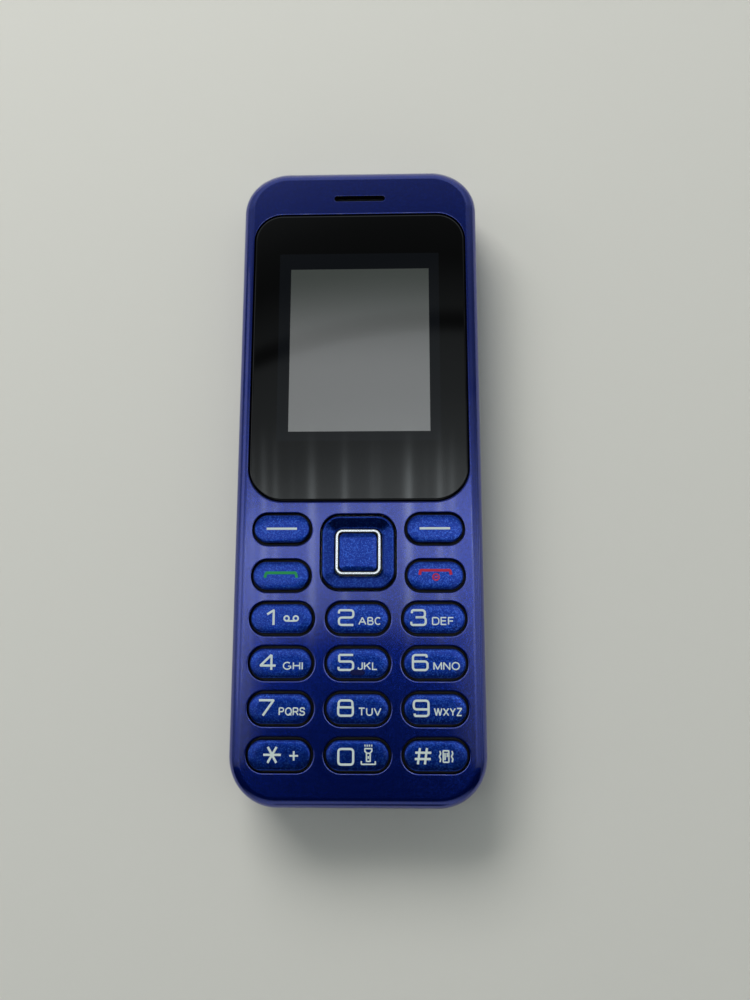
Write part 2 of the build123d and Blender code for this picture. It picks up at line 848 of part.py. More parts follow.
def nodes():
    """Every piece of the phone by its node name."""
    first, second, memory = [card_holder(*place) for place in holder_places()]
    pieces = {
        "front_cover": front_cover(), "display_lens": display_lens(), "lens_tape": lens_tape(),
        "nav_ring": nav_ring(), "nav_rocker": nav_rocker(),
        "centre_key": centre_key(), "centre_trim": centre_trim(),
        "keypad_mat": keypad_mat(), "metal_domes": metal_domes(), "keypad_lights": keypad_lights(),
        "circuit_board": circuit_board(), "shield_cans": shield_cans(),
        "display_frame": display_frame(), "display_backlight": display_backlight(),
        "display_panel": display_panel(), "display_flex": display_flex(),
        "earpiece_mesh": earpiece_mesh(), "earpiece_receiver": earpiece_receiver(),
        "sim_holders": group([first, second]), "memory_holder": memory,
        "rear_housing": rear_housing(), "contact_block": contact_block(),
        "battery_contacts": battery_contacts(), "battery": battery(),
        "loudspeaker": loudspeaker(), "speaker_gasket": speaker_gasket(),
        "camera_module": camera_module(), "camera_window": camera_window(),
        "torch_lens": torch_lens(), "torch_led": torch_led(), "headset_jack": headset_jack(),
        "usb_socket": usb_socket(), "microphone": microphone(), "microphone_boot": microphone_boot(),
        "vibration_motor": vibration_motor(), "antenna": antenna(),
        "battery_cover": battery_cover(),
    }
    pieces.update(keys())
    return pieces


os.makedirs("parts", exist_ok=True)
for name, piece in nodes().items():
    export_step(piece, f"parts/{name}.step")
print("nav pivot z", round(nav_pivot_z, 4), "nav y", round(nav_y, 4))
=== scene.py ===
import json
import math

import bmesh
import bpy
from mathutils import Matrix, Vector


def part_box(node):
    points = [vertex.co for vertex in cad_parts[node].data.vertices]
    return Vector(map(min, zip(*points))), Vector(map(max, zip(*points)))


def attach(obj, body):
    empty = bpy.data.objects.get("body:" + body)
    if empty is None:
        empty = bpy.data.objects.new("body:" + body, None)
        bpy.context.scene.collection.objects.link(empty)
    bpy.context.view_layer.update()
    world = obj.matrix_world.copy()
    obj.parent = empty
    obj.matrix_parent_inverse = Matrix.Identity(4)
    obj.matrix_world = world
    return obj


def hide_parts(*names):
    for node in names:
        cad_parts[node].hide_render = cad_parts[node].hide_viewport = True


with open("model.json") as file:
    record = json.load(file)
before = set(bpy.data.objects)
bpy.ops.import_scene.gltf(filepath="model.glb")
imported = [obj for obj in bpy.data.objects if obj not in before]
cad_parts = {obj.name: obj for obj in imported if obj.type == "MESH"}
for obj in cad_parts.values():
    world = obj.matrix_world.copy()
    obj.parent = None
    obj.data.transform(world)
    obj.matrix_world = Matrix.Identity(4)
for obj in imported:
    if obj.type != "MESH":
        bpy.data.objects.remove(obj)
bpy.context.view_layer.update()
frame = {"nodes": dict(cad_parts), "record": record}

# Pieces are modelled in millimetres and scaled to metres when they are placed
MM = 0.001


def box(node):
    """A solid's lowest and highest corners, in millimetres."""
    low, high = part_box(node)
    return low / MM, high / MM


# Levels of the phone, from its solids
FACE = box("display_lens")[1].z
FACE_UNDER = box("earpiece_mesh")[1].z
SHELF = box("lens_tape")[0].z
KEY_TOP = box("key_1")[1].z
COVER_LOW, COVER_HIGH = box("front_cover")

# What follows has sizes that the solids keep plainer or leave out. A cutter passes its piece by OVERCUT.
OVERCUT = 1

# Shells: their corners, the face's edge and the lean of the upper end, then the battery cover
BODY_RADIUS = 9.0
WALL = 1.2
FACE_ROUND = 2.3
HEAD_REACH = 13.0
HEAD_LEAN = 0.9
HEAD_PINCH = 0.35
SKIN = 0.2
# Depth below the face from which faces in gaps and holes are painted black, as painted shade
SHADED_DEPTH = 0.35
PARTING_EASE = 0.12
SHELL_EASE = 0.06
EASED_ANGLE = 50
BACK_ROUND = 2.0
BACK_PLATE = 1.1
BACK_RIM = 2.6
BACK_WALL = 1.1
GRILLE_SLOTS = 5
GRILLE_PITCH = 1.9
GRILLE_HALF = (4.5, 0.5)
GRILLE_RADIUS = 0.45
CAMERA_GAP = 0.15
CAMERA_RADIUS = 1.2
NOTCH_HALF = 4.5
NOTCH_DEPTH = 0.8

# Holes in the face: width and drop of each step of their rim
LIP_STEPS = ((0.2, 0.044), (0.07, 0.05), (0.05, 0.12))
LIP_WIDTH = 0.32
EAR_WIDTH = 10.24
EAR_HEIGHT = 1.18
EAR_LIP_SHARE = 0.4

# Pill keys: a crown is a row of insets with their rise
FLANGE_LAP = 0.55
FLANGE_THICKNESS = 0.8
KEY_GAP = 0.45
KEY_EDGE = 0.32
KEY_CROWN_DROP = 0.07
KEY_CROWN = ((0.35, 0.035), (0.45, 0.02), (0.5, 0.01))
BAR_HALF = (1.33, 0.5)
BAR_DROP = 1.6

# Navigation ring, bright frame and centre key
NAV_FLANGE_LAP = 0.425
NAV_GAP = 0.42
NAV_RADIUS = 3.6
NAV_EDGE = 0.3
NAV_RIM = 0.12
NAV_DISH = 0.85
NAV_HOLE_HALF = 4.525
NAV_HOLE_RADIUS = 1.6
TRIM_BAND = 0.5
TRIM_RADIUS = 1.3
TRIM_INNER_RADIUS = 0.85
CENTRE_GAP = 0.16
CENTRE_RADIUS = 1.0
CENTRE_CROWN_DROP = 0.1
CENTRE_CROWN = ((0.3, 0.04), (0.25, 0.02), (0.15, 0.01))

# Lens
LENS_TOP_RADIUS = 5.5
LENS_FOOT_RADIUS = 6.5
LENS_GAP = 0.15
LENS_EDGE = 0.45

# Print
STROKE = 0.4
DIGIT_SIZE = (2.66, 2.68)
LETTER_STROKE = 0.23
LETTER_GAP = 0.4
LETTER_HEIGHT = 1.24
ARC_STEPS = 4
PRINT_RISE = 0.025
PRINT_SINK = 0.005

# Floor, in metres
FLOOR_SIZE = 3
FLOOR_DROP = 0.02 * MM

NUMBER_KEYS = ["key_1", "key_2", "key_3", "key_4", "key_5", "key_6", "key_7", "key_8", "key_9",
               "star_key", "key_0", "hash_key"]
FUNCTION_KEYS = ["left_soft_key", "right_soft_key", "call_key", "end_key"]


def middle(node):
    """The middle of a solid, seen from above."""
    low, high = box(node)
    return Vector(((low.x + high.x) / 2, (low.y + high.y) / 2, 0))


# Helpers that shape a mesh as by hand

def deselect():
    bpy.ops.object.select_all(action="DESELECT")


def add_block(name, low, high):
    """A block between two corners, with its place in its mesh."""
    low, high = Vector(low), Vector(high)
    deselect()
    bpy.ops.mesh.primitive_cube_add(size=1, location=(low + high) / 2, scale=high - low)
    bpy.ops.object.transform_apply(location=True, rotation=True, scale=True)
    piece = bpy.context.object
    piece.name = piece.data.name = name
    return piece


def make_active(piece):
    deselect()
    piece.select_set(True)
    bpy.context.view_layer.objects.active = piece


def pick(piece, kind, test):
    """In edit mode, selects the piece's edges or faces that pass a test."""
    bpy.context.tool_settings.mesh_select_mode = (False, kind == "edges", kind == "faces")
    bpy.ops.mesh.select_all(action="DESELECT")
    mesh = bmesh.from_edit_mesh(piece.data)
    for item in getattr(mesh, kind):
        if test(item):
            item.select_set(True)
    mesh.select_flush_mode()
    bmesh.update_edit_mesh(piece.data)


def upright(edge, inside=lambda x, y: True):
    a, b = (v.co for v in edge.verts)
    return abs((a - b).normalized().z) > 0.99 and inside(a.x, a.y)


def at_level(item, level):
    return all(abs(v.co.z - level) < 1e-3 for v in item.verts)


def faces_up(face, level):
    return face.normal.z > 0.99 and at_level(face, level)


def faces_down(face, level):
    return face.normal.z < -0.99 and at_level(face, level)


def bevel(piece, test, width, segments):
    """Rounds the edges that pass a test."""
    make_active(piece)
    bpy.ops.object.mode_set(mode="EDIT")
    pick(piece, "edges", test)
    bpy.ops.mesh.bevel(offset=width, segments=segments, affect="EDGES", clamp_overlap=True)
    bpy.ops.mesh.select_all(action="SELECT")
    bpy.ops.mesh.remove_doubles(threshold=1e-3)
    bpy.ops.object.mode_set(mode="OBJECT")


def inset(piece, test, width, rise):
    """Insets a face and moves the inner one along its normal."""
    make_active(piece)
    bpy.ops.object.mode_set(mode="EDIT")
    pick(piece, "faces", test)
    bpy.ops.mesh.inset(thickness=width, depth=rise)
    bpy.ops.object.mode_set(mode="OBJECT")


def lift(piece, test, rise):
    """Extrudes a face along Z."""
    make_active(piece)
    bpy.ops.object.mode_set(mode="EDIT")
    pick(piece, "faces", test)
    bpy.ops.mesh.extrude_region_move(TRANSFORM_OT_translate={"value": (0, 0, rise)})
    bpy.ops.object.mode_set(mode="OBJECT")


def rounded_block(name, low, high, radius, segments):
    """A block with round upright edges."""
    piece = add_block(name, low, high)
    bevel(piece, upright, radius, segments)
    return piece


def join(pieces, name):
    """One mesh of several."""
    deselect()
    for piece in pieces:
        piece.select_set(True)
    bpy.context.view_layer.objects.active = pieces[0]
    if len(pieces) > 1:
        bpy.ops.object.join()
    joined = bpy.context.object
    joined.name = joined.data.name = name
    return joined


def cut(piece, cutters):
    """Cuts other meshes out of a piece and removes them."""
    tool = join(cutters, "cutter")
    make_active(piece)
    step = piece.modifiers.new("cut", "BOOLEAN")
    step.operation = "DIFFERENCE"
    step.solver = "EXACT"
    step.object = tool
    bpy.ops.object.modifier_apply(modifier=step.name)
    bpy.data.objects.remove(tool)


def ease_edges(piece, width, segments):
    """A small bevel on every sharp edge."""
    make_active(piece)
    step = piece.modifiers.new("ease", "BEVEL")
    step.width = width
    step.segments = segments
    step.limit_method = "ANGLE"
    step.angle_limit = math.radians(EASED_ANGLE)
    bpy.ops.object.modifier_apply(modifier=step.name)


def smooth(piece, angle):
    """Smooth shading up to an angle, with flat large faces."""
    make_active(piece)
    bpy.ops.object.shade_smooth_by_angle(angle=math.radians(angle))
    evened = piece.modifiers.new("even_faces", "WEIGHTED_NORMAL")
    evened.keep_sharp = True
    evened.weight = 100
    bpy.ops.object.modifier_apply(modifier=evened.name)


def place(piece, body, material, slot, *nodes):
    """Brings a finished piece to metres with its material and body, and hides the solids it stands for."""
    make_active(piece)
    piece.scale = (MM, MM, MM)
    bpy.ops.object.transform_apply(location=True, rotation=True, scale=True)
    piece.data.materials.clear()
    piece.data.materials.append(material)
    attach(piece, body)
    if nodes:
        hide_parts(*nodes)


def paint_shade_below(piece, level, inside=lambda face: True):
    """Paints the faces below a level black, as painted shade in the gaps and holes where little light
    reaches.
    """
    piece.data.materials.append(BLACK_PLASTIC_AND_GAP_SHADE)
    for face in piece.data.polygons:
        if face.center.z < level * MM and inside(face):
            face.material_index = 1


# Shader groups that several finishes share

def new_group(name, inputs, outputs):
    """An empty shader group with named sockets, and its input and output nodes."""
    group = bpy.data.node_groups.new(name, "ShaderNodeTree")
    for label, kind, value in inputs:
        socket = group.interface.new_socket(label, in_out="INPUT", socket_type=kind)
        socket.default_value = value
    for label, kind in outputs:
        group.interface.new_socket(label, in_out="OUTPUT", socket_type=kind)
    return group, group.nodes.new("NodeGroupInput"), group.nodes.new("NodeGroupOutput")


def object_pattern(tree, kind, **settings):
    """A texture node on Object coordinates."""
    place_node = tree.nodes.new("ShaderNodeTexCoord")
    texture = tree.nodes.new(kind)
    tree.links.new(place_node.outputs["Object"], texture.inputs["Vector"])
    for label, value in settings.items():
        texture.inputs[label].default_value = value
    return texture


def flake_group():
    """Metal flakes in lacquer: each cell tilts the normal and changes the colour a little."""
    group, given, out = new_group(
        "flakes",
        [("Base", "NodeSocketColor", (0.03, 0.06, 0.5, 1)),
         ("Glint", "NodeSocketColor", (0.2, 0.3, 0.9, 1)),
         ("Size", "NodeSocketFloat", 9000),
         ("Tilt", "NodeSocketFloat", 0.2),
         ("Amount", "NodeSocketFloat", 0.3)],
        [("Color", "NodeSocketColor"), ("Normal", "NodeSocketVector")])
    link = group.links.new
    cells = object_pattern(group, "ShaderNodeTexVoronoi")
    link(given.outputs["Size"], cells.inputs["Scale"])
    centred = group.nodes.new("ShaderNodeVectorMath")
    centred.operation = "SUBTRACT"
    centred.inputs[1].default_value = (0.5, 0.5, 0.5)
    link(cells.outputs["Color"], centred.inputs[0])
    tilted = group.nodes.new("ShaderNodeVectorMath")
    tilted.operation = "SCALE"
    link(centred.outputs[0], tilted.inputs[0])
    link(given.outputs["Tilt"], tilted.inputs["Scale"])
    surface = group.nodes.new("ShaderNodeNewGeometry")
    added = group.nodes.new("ShaderNodeVectorMath")
    added.operation = "ADD"
    link(surface.outputs["Normal"], added.inputs[0])
    link(tilted.outputs[0], added.inputs[1])
    unit = group.nodes.new("ShaderNodeVectorMath")
    unit.operation = "NORMALIZE"
    link(added.outputs[0], unit.inputs[0])
    link(unit.outputs[0], out.inputs["Normal"])
    parts = group.nodes.new("ShaderNodeSeparateColor")
    link(cells.outputs["Color"], parts.inputs[0])
    bright = group.nodes.new("ShaderNodeMapRange")
    bright.inputs["From Min"].default_value = 0.55
    link(parts.outputs[0], bright.inputs["Value"])
    share = group.nodes.new("ShaderNodeMath")
    share.operation = "MULTIPLY"
    link(bright.outputs[0], share.inputs[0])
    link(given.outputs["Amount"], share.inputs[1])
    mix = group.nodes.new("ShaderNodeMix")
    mix.data_type = "RGBA"
    link(share.outputs[0], mix.inputs["Factor"])
    link(given.outputs["Base"], mix.inputs["A"])
    link(given.outputs["Glint"], mix.inputs["B"])
    link(mix.outputs["Result"], out.inputs["Color"])
    return group


def handling_group():
    """Faint smears and fine grain that vary the roughness."""
    group, given, out = new_group(
        "handling",
        [("Roughness", "NodeSocketFloat", 0.2),
         ("Smear", "NodeSocketFloat", 0.1),
         ("Size", "NodeSocketFloat", 60)],
        [("Roughness", "NodeSocketFloat"), ("Grain", "NodeSocketFloat")])
    link = group.links.new
    smears = object_pattern(group, "ShaderNodeTexNoise", Detail=5, Roughness=0.6, Distortion=0.8)
    link(given.outputs["Size"], smears.inputs["Scale"])
    shift = group.nodes.new("ShaderNodeMath")
    shift.operation = "SUBTRACT"
    shift.inputs[1].default_value = 0.5
    link(smears.outputs["Fac"], shift.inputs[0])
    spread = group.nodes.new("ShaderNodeMath")
    spread.operation = "MULTIPLY_ADD"
    spread.use_clamp = True
    link(shift.outputs[0], spread.inputs[0])
    link(given.outputs["Smear"], spread.inputs[1])
    link(given.outputs["Roughness"], spread.inputs[2])
    link(spread.outputs[0], out.inputs["Roughness"])
    grain = object_pattern(group, "ShaderNodeTexNoise", Scale=9000, Detail=2)
    link(grain.outputs["Fac"], out.inputs["Grain"])
    return group


FLAKES = flake_group()
HANDLING = handling_group()


def use_group(material, group, **values):
    node = material.node_tree.nodes.new("ShaderNodeGroup")
    node.node_tree = group
    for label, value in values.items():
        node.inputs[label].default_value = value
    return node


def new_material(name, color, **sockets):
    """A Principled material with fixed socket values."""
    material = bpy.data.materials.new(name)
    material.use_nodes = True
    shader = material.node_tree.nodes["Principled BSDF"]
    shader.inputs["Base Color"].default_value = (*color, 1)
    for label, value in sockets.items():
        shader.inputs[label.replace("_", " ")].default_value = value
    return material


def shader_of(material):
    return material.node_tree.nodes["Principled BSDF"]


def lacquer(name, base, glint, size, tilt, amount, roughness, **sockets):
    """Flake lacquer under a clear coat."""
    material = new_material(name, base, **sockets)
    shader = shader_of(material)
    link = material.node_tree.links.new
    flakes = use_group(material, FLAKES, Base=(*base, 1), Glint=(*glint, 1), Size=size, Tilt=tilt,
                       Amount=amount)
    wear = use_group(material, HANDLING, Roughness=roughness, Smear=0.04, Size=70)
    link(flakes.outputs["Color"], shader.inputs["Base Color"])
    link(flakes.outputs["Normal"], shader.inputs["Normal"])
    link(wear.outputs["Roughness"], shader.inputs["Roughness"])
    return material


def grained(name, color, roughness, bump, **sockets):
    """A plain finish with smears and a fine grain."""
    material = new_material(name, color, **sockets)
    shader = shader_of(material)
    link = material.node_tree.links.new
    wear = use_group(material, HANDLING, Roughness=roughness, Smear=0.1, Size=90)
    relief = material.node_tree.nodes.new("ShaderNodeBump")
    relief.inputs["Strength"].default_value = bump
    relief.inputs["Distance"].default_value = 0.02 * MM
    link(wear.outputs["Roughness"], shader.inputs["Roughness"])
    link(wear.outputs["Grain"], relief.inputs["Height"])
    link(relief.outputs["Normal"], shader.inputs["Normal"])
    return material


BLUE_TINT = (0.3, 0.4, 0.8, 1)
COVER_PAINT = lacquer("cover_lacquer", (0.003, 0.016, 0.215), (0.02, 0.06, 0.42), 6000, 0.05, 0.3, 0.19,
                      Metallic=0.85, Specular_Tint=BLUE_TINT, Coat_Weight=1.0, Coat_Roughness=0.05,
                      Coat_IOR=1.6)
REAR_PAINT = lacquer("rear_lacquer", (0.006, 0.018, 0.24), (0.03, 0.07, 0.42), 14000, 0.10, 0.3, 0.36,
                     Metallic=0.8, Coat_Weight=0.6, Coat_Roughness=0.12)
KEY_PAINT = lacquer("key_lacquer", (0.0045, 0.03, 0.28), (0.06, 0.20, 0.85), 5600, 0.07, 0.42, 0.28,
                    Metallic=1.0, Specular_Tint=BLUE_TINT, Coat_Weight=0.25, Coat_Roughness=0.1)
PLATED = grained("plated_trim", (0.74, 0.75, 0.76), 0.2, 0.05, Metallic=1.0)
PRINT = grained("pale_print", (0.54, 0.62, 0.59), 0.5, 0.1)
GREEN_PRINT = grained("green_print", (0.008, 0.24, 0.06), 0.5, 0.1)
RED_PRINT = grained("red_print", (0.40, 0.008, 0.035), 0.5, 0.1)
BAR_BLUE = grained("bar_blue", (0.002, 0.004, 0.05), 0.35, 0.2, Specular_IOR_Level=0.15)
# Black plastic of the solids, also used as the painted shade in key gaps and hole walls
BLACK_PLASTIC_AND_GAP_SHADE = grained("black_plastic", (0.005, 0.005, 0.006), 0.45, 0.4, Specular_IOR_Level=0.3)
BLACK_MESH = grained("black_mesh", (0.006, 0.006, 0.006), 0.8, 0.9)
SILICONE = grained("silicone", (0.55, 0.57, 0.57), 0.5, 0.2, Subsurface_Weight=0.3,
                   Subsurface_Scale=0.5 * MM)
BOARD = grained("solder_mask", (0.008, 0.09, 0.035), 0.35, 0.3, Coat_Weight=0.4)
TINNED = grained("tinned_sheet", (0.55, 0.55, 0.54), 0.32, 0.25, Metallic=1.0)
GOLD = grained("gold_plate", (0.85, 0.6, 0.22), 0.25, 0.1, Metallic=1.0)
CLEAR = grained("clear_window", (0.8, 0.83, 0.86), 0.06, 0.02, Coat_Weight=1.0)
DARK_GLASS = grained("dark_window", (0.006, 0.006, 0.008), 0.06, 0.02, Coat_Weight=1.0)
TORCH_GLASS = grained("torch_glass", (0.42, 0.44, 0.43), 0.14, 0.05, Coat_Weight=1.0)
GUIDE = grained("light_guide", (0.8, 0.82, 0.8), 0.3, 0.1)
AMBER = grained("amber_film", (0.42, 0.17, 0.03), 0.3, 0.15)
BATTERY = grained("battery_wrap", (0.32, 0.33, 0.35), 0.38, 0.25, Metallic=0.35)
GLASS_GREY = grained("display_glass", (0.16, 0.165, 0.155), 0.2, 0.02)


# What shows through the lens: the panel's dark frame, and the lit area with a shadow at its top
WINDOW_LOW = Vector((-15.9, 5.05)) * MM
WINDOW_HIGH = Vector((15.8, 43.5)) * MM
LIT_LOW = Vector((-13.62, 6.9)) * MM
LIT_HIGH = Vector((13.78, 40.2)) * MM
SHADOW_FOOT = 18 * MM
LIT_GREY = (0.175, 0.175, 0.173, 1)
SHADOW_GREY = (0.052, 0.058, 0.052, 1)
PRINT_BLACK = (0.0012, 0.0012, 0.0012, 1)
FRAME_BLACK = (0.0035, 0.0042, 0.0055, 1)


def lens_material():
    """Clear window printed black behind, with the panel's grey and its darker frame showing through."""
    material = new_material("printed_lens", (0.001, 0.001, 0.001), Specular_IOR_Level=0.42,
                            Coat_IOR=1.8, Coat_Roughness=0.04)
    tree = material.node_tree
    shader = shader_of(material)
    link = tree.links.new
    coordinates = tree.nodes.new("ShaderNodeTexCoord")
    axes = tree.nodes.new("ShaderNodeSeparateXYZ")
    link(coordinates.outputs["Object"], axes.inputs[0])

    def inside(low, high, soft):
        """A mask that is 1 inside a rectangle, with soft sides."""
        sides = []
        for axis in (0, 1):
            half = (high[axis] - low[axis]) / 2
            away = tree.nodes.new("ShaderNodeMath")
            away.operation = "SUBTRACT"
            away.inputs[1].default_value = low[axis] + half
            link(axes.outputs[axis], away.inputs[0])
            size = tree.nodes.new("ShaderNodeMath")
            size.operation = "ABSOLUTE"
            link(away.outputs[0], size.inputs[0])
            side = tree.nodes.new("ShaderNodeMapRange")
            side.inputs["From Min"].default_value = half + soft
            side.inputs["From Max"].default_value = half - soft
            link(size.outputs[0], side.inputs["Value"])
            sides.append(side)
        both = tree.nodes.new("ShaderNodeMath")
        both.operation = "MULTIPLY"
        link(sides[0].outputs[0], both.inputs[0])
        link(sides[1].outputs[0], both.inputs[1])
        return both.outputs[0]

    def mixed(mask, under, over):
        """One tone over another, where a mask is 1."""
        mix = tree.nodes.new("ShaderNodeMix")
        mix.data_type = "RGBA"
        link(mask, mix.inputs["Factor"])
        for value, socket in ((under, mix.inputs["A"]), (over, mix.inputs["B"])):
            if isinstance(value, tuple):
                socket.default_value = value
            else:
                link(value, socket)
        return mix.outputs["Result"]

    window = inside((WINDOW_LOW.x, WINDOW_LOW.y), (WINDOW_HIGH.x, WINDOW_HIGH.y), 0.06 * MM)
    lit = inside((LIT_LOW.x, LIT_LOW.y), (LIT_HIGH.x, LIT_HIGH.y), 0.04 * MM)
    fall = tree.nodes.new("ShaderNodeMapRange")
    fall.interpolation_type = "SMOOTHSTEP"
    fall.inputs["From Min"].default_value = SHADOW_FOOT
    fall.inputs["From Max"].default_value = LIT_HIGH.y
    link(axes.outputs[1], fall.inputs["Value"])
    grey = mixed(fall.outputs[0], LIT_GREY, SHADOW_GREY)
    frame_tone = mixed(window, PRINT_BLACK, FRAME_BLACK)
    link(mixed(lit, frame_tone, grey), shader.inputs["Base Color"])
    link(lit, shader.inputs["Coat Weight"])
    wear = use_group(material, HANDLING, Roughness=0.05, Smear=0.04, Size=45)
    link(wear.outputs["Roughness"], shader.inputs["Roughness"])
    return material


LENS = lens_material()


# Camera at the photograph's place, over the keypad and looking slightly up the phone
CAMERA_LENS = 28.08
CAMERA_FILM = 36
CAMERA_EYE = (6.865 * MM, -31.150 * MM, (FACE + 145.676) * MM)
CAMERA_FORWARD = (-0.02513882, 0.16656058, -0.98571072)
CAMERA_UP = (0.00362975, 0.98603104, 0.16652213)


def camera():
    data = bpy.data.cameras.new("camera")
    data.lens = CAMERA_LENS
    data.sensor_width = CAMERA_FILM
    data.sensor_fit = "AUTO"
    data.clip_start = 5 * MM
    eye = bpy.data.objects.new("camera", data)
    forward = Vector(CAMERA_FORWARD).normalized()
    up = Vector(CAMERA_UP).normalized()
    right = forward.cross(up)
    turn = Matrix((right, up, -forward)).transposed()
    eye.matrix_world = Matrix.Translation(CAMERA_EYE) @ turn.to_4x4()
    bpy.context.scene.collection.objects.link(eye)
    bpy.context.scene.camera = eye


# The room, by the X and Y of the direction in which the phone sees it. The strip overhead has a
# brightness for each Y, arches about its middle, shows bright folds in one part and fades towards
# the banks at the sides. A dark screen stands near the camera.
STRIP_SHADES = ((-0.9, 0.7), (-0.7, 0.5), (-0.5, 0.2), (-0.2, 0.22), (-0.06, 0.5),
                (0.0, 0.8), (0.08, 1.3), (0.16, 1.7), (0.19, 1.4), (0.24, 0.75),
                (0.30, 0.5), (0.368, 0.38), (0.376, 0.03), (0.388, 0.03), (0.398, 0.24),
                (0.45, 0.06), (0.49, 0.1), (0.54, 0.25), (0.64, 0.8), (0.9, 0.8))
STRIP_MIDDLE = 0.045
ARCH_LIMIT = 0.08
FOLD_SCALE = 72
FOLD_SHIFT = 3.1
FOLD_GLOW = 3.2
BETWEEN_FOLDS = 0.8
BANK_START, BANK_FULL = 0.3, 0.6
BANK_FALL, BANK_END = 0.75, 0.95
SIDE_BANK = 0.19
SIDE_DROP = 0.11
SIDE_SHARE = 0.35
SHADE = 0.012
SCREEN_MIDDLE = -0.047
SCREEN_BREADTHS = (0.125, 0.9)
BACKDROP = 0.62
ROOM_TINT = (0.92, 1.0, 1.03, 1)


def area_light(name, place_at, width, height, power):
    """A soft box that looks at the phone."""
    data = bpy.data.lights.new(name, "AREA")
    data.shape = "RECTANGLE"
    data.size = width
    data.size_y = height
    data.energy = power
    light = bpy.data.objects.new(name, data)
    light.location = place_at
    direction = Vector((0, 0, 0)) - Vector(place_at)
    light.rotation_euler = direction.to_track_quat("-Z", "Y").to_euler()
    light.visible_camera = False
    bpy.context.scene.collection.objects.link(light)
    return light


def room():
    """Pale floor, the shaded room and two soft boxes."""
    deselect()
    bpy.ops.mesh.primitive_plane_add(size=FLOOR_SIZE)
    floor = bpy.context.object
    floor.name = "floor"
    for corner in floor.data.vertices:
        corner.co.z = -FLOOR_DROP
    paper = grained("floor_paper", (0.62, 0.607, 0.552), 0.85, 0.1)
    floor.data.materials.append(paper)
    world = bpy.data.worlds.new("room")
    bpy.context.scene.world = world
    world.use_nodes = True
    shade_room(world.node_tree)
    area_light("key_light", (-1.5, 0.3, 0.8), width=1.0, height=0.8, power=1.2)
    far_light = area_light("far_light", (-0.35, 0.75, 0.55), width=0.7, height=0.4, power=9.5)
    far_light.visible_glossy = False
    bpy.context.scene.view_settings.view_transform = "Standard"


def shade_room(tree):
    """Banks left and right, a strip overhead, and a dark screen near the camera."""
    link = tree.links.new
    direction = tree.nodes.new("ShaderNodeTexCoord")
    axes = tree.nodes.new("ShaderNodeSeparateXYZ")
    link(direction.outputs["Generated"], axes.inputs[0])
    x, y = axes.outputs["X"], axes.outputs["Y"]

    def number(operation, *values):
        """A maths node fed by sockets and fixed values."""
        node = tree.nodes.new("ShaderNodeMath")
        node.operation = operation
        for socket, value in zip(node.inputs, values):
            if isinstance(value, bpy.types.NodeSocket):
                link(value, socket)
            else:
                socket.default_value = value
        return node.outputs[0]

    def soft_step(value, start, end, low, high):
        """A smooth change from low to high between two values."""
        node = tree.nodes.new("ShaderNodeMapRange")
        node.interpolation_type = "SMOOTHSTEP"
        link(value, node.inputs["Value"])
        for label, amount in (("From Min", start), ("From Max", end), ("To Min", low), ("To Max", high)):
            node.inputs[label].default_value = amount
        return node.outputs[0]

    strip = tree.nodes.new("ShaderNodeValToRGB")
    strip.color_ramp.elements.remove(strip.color_ramp.elements[1])
    for at, shade in STRIP_SHADES:
        stop = strip.color_ramp.elements.new(at / 2 + 0.5)
        stop.color = (shade, shade, shade, 1)
    off_middle = number("ADD", x, -STRIP_MIDDLE)
    arch = number("MINIMUM", number("MULTIPLY", off_middle, off_middle), ARCH_LIMIT)
    arched = number("ADD", arch, y)
    link(number("MULTIPLY_ADD", arched, 0.5, 0.5), strip.inputs[0])
    folds = tree.nodes.new("ShaderNodeTexNoise")
    folds.noise_dimensions = "1D"
    folds.inputs["Scale"].default_value = FOLD_SCALE
    folds.inputs["Detail"].default_value = 2
    link(number("ADD", x, FOLD_SHIFT), folds.inputs["W"])
    streaked = number("MULTIPLY", soft_step(y, 0.27, 0.17, 0, 1), soft_step(y, -0.3, -0.1, 0, 1))
    streaks = number("MULTIPLY", soft_step(folds.outputs["Fac"], 0.54, 0.72, 0, FOLD_GLOW), streaked)
    side = number("ABSOLUTE", x)
    strip_share = soft_step(side, BANK_START, BANK_FULL, 1, SIDE_SHARE)
    middle_strip = number("MULTIPLY", strip.outputs[0], strip_share)
    folded = number("MULTIPLY", middle_strip, number("ADD", streaks, BETWEEN_FOLDS))
    banks = number("SUBTRACT", soft_step(side, BANK_START, BANK_FULL, 0, SIDE_BANK),
                   soft_step(side, BANK_FALL, BANK_END, 0, SIDE_DROP))
    off = number("ABSOLUTE", number("ADD", x, -SCREEN_MIDDLE))
    breadth = soft_step(y, -0.14, -0.34, *SCREEN_BREADTHS)
    beside = soft_step(number("SUBTRACT", off, breadth), -0.012, 0.018, SHADE, 1)
    ahead = soft_step(number("MULTIPLY_ADD", off, 0.12, y), -0.025, 0.045, SHADE, 1)
    behind = soft_step(y, -0.62, -0.82, SHADE, 1)
    screen = number("MAXIMUM", number("MAXIMUM", beside, ahead), behind)
    light = number("MULTIPLY", number("ADD", folded, banks), screen)
    seen = tree.nodes.new("ShaderNodeLightPath")
    level = tree.nodes.new("ShaderNodeMix")
    link(seen.outputs["Is Camera Ray"], level.inputs["Factor"])
    link(light, level.inputs["A"])
    level.inputs["B"].default_value = BACKDROP
    link(level.outputs["Result"], tree.nodes["Background"].inputs["Strength"])
    tree.nodes["Background"].inputs["Color"].default_value = ROOM_TINT


# Shells

def flare(cutter, floor_z, share=1.0):
    """Gives a cutter's lower end a shallow rim and a rounded edge, then carries it down."""
    level = FACE
    for width, drop in LIP_STEPS:
        inset(cutter, lambda f, z=level: faces_down(f, z), width * share, drop * share)
        level -= drop * share
    lift(cutter, lambda f: faces_down(f, level), floor_z - level)
    return cutter


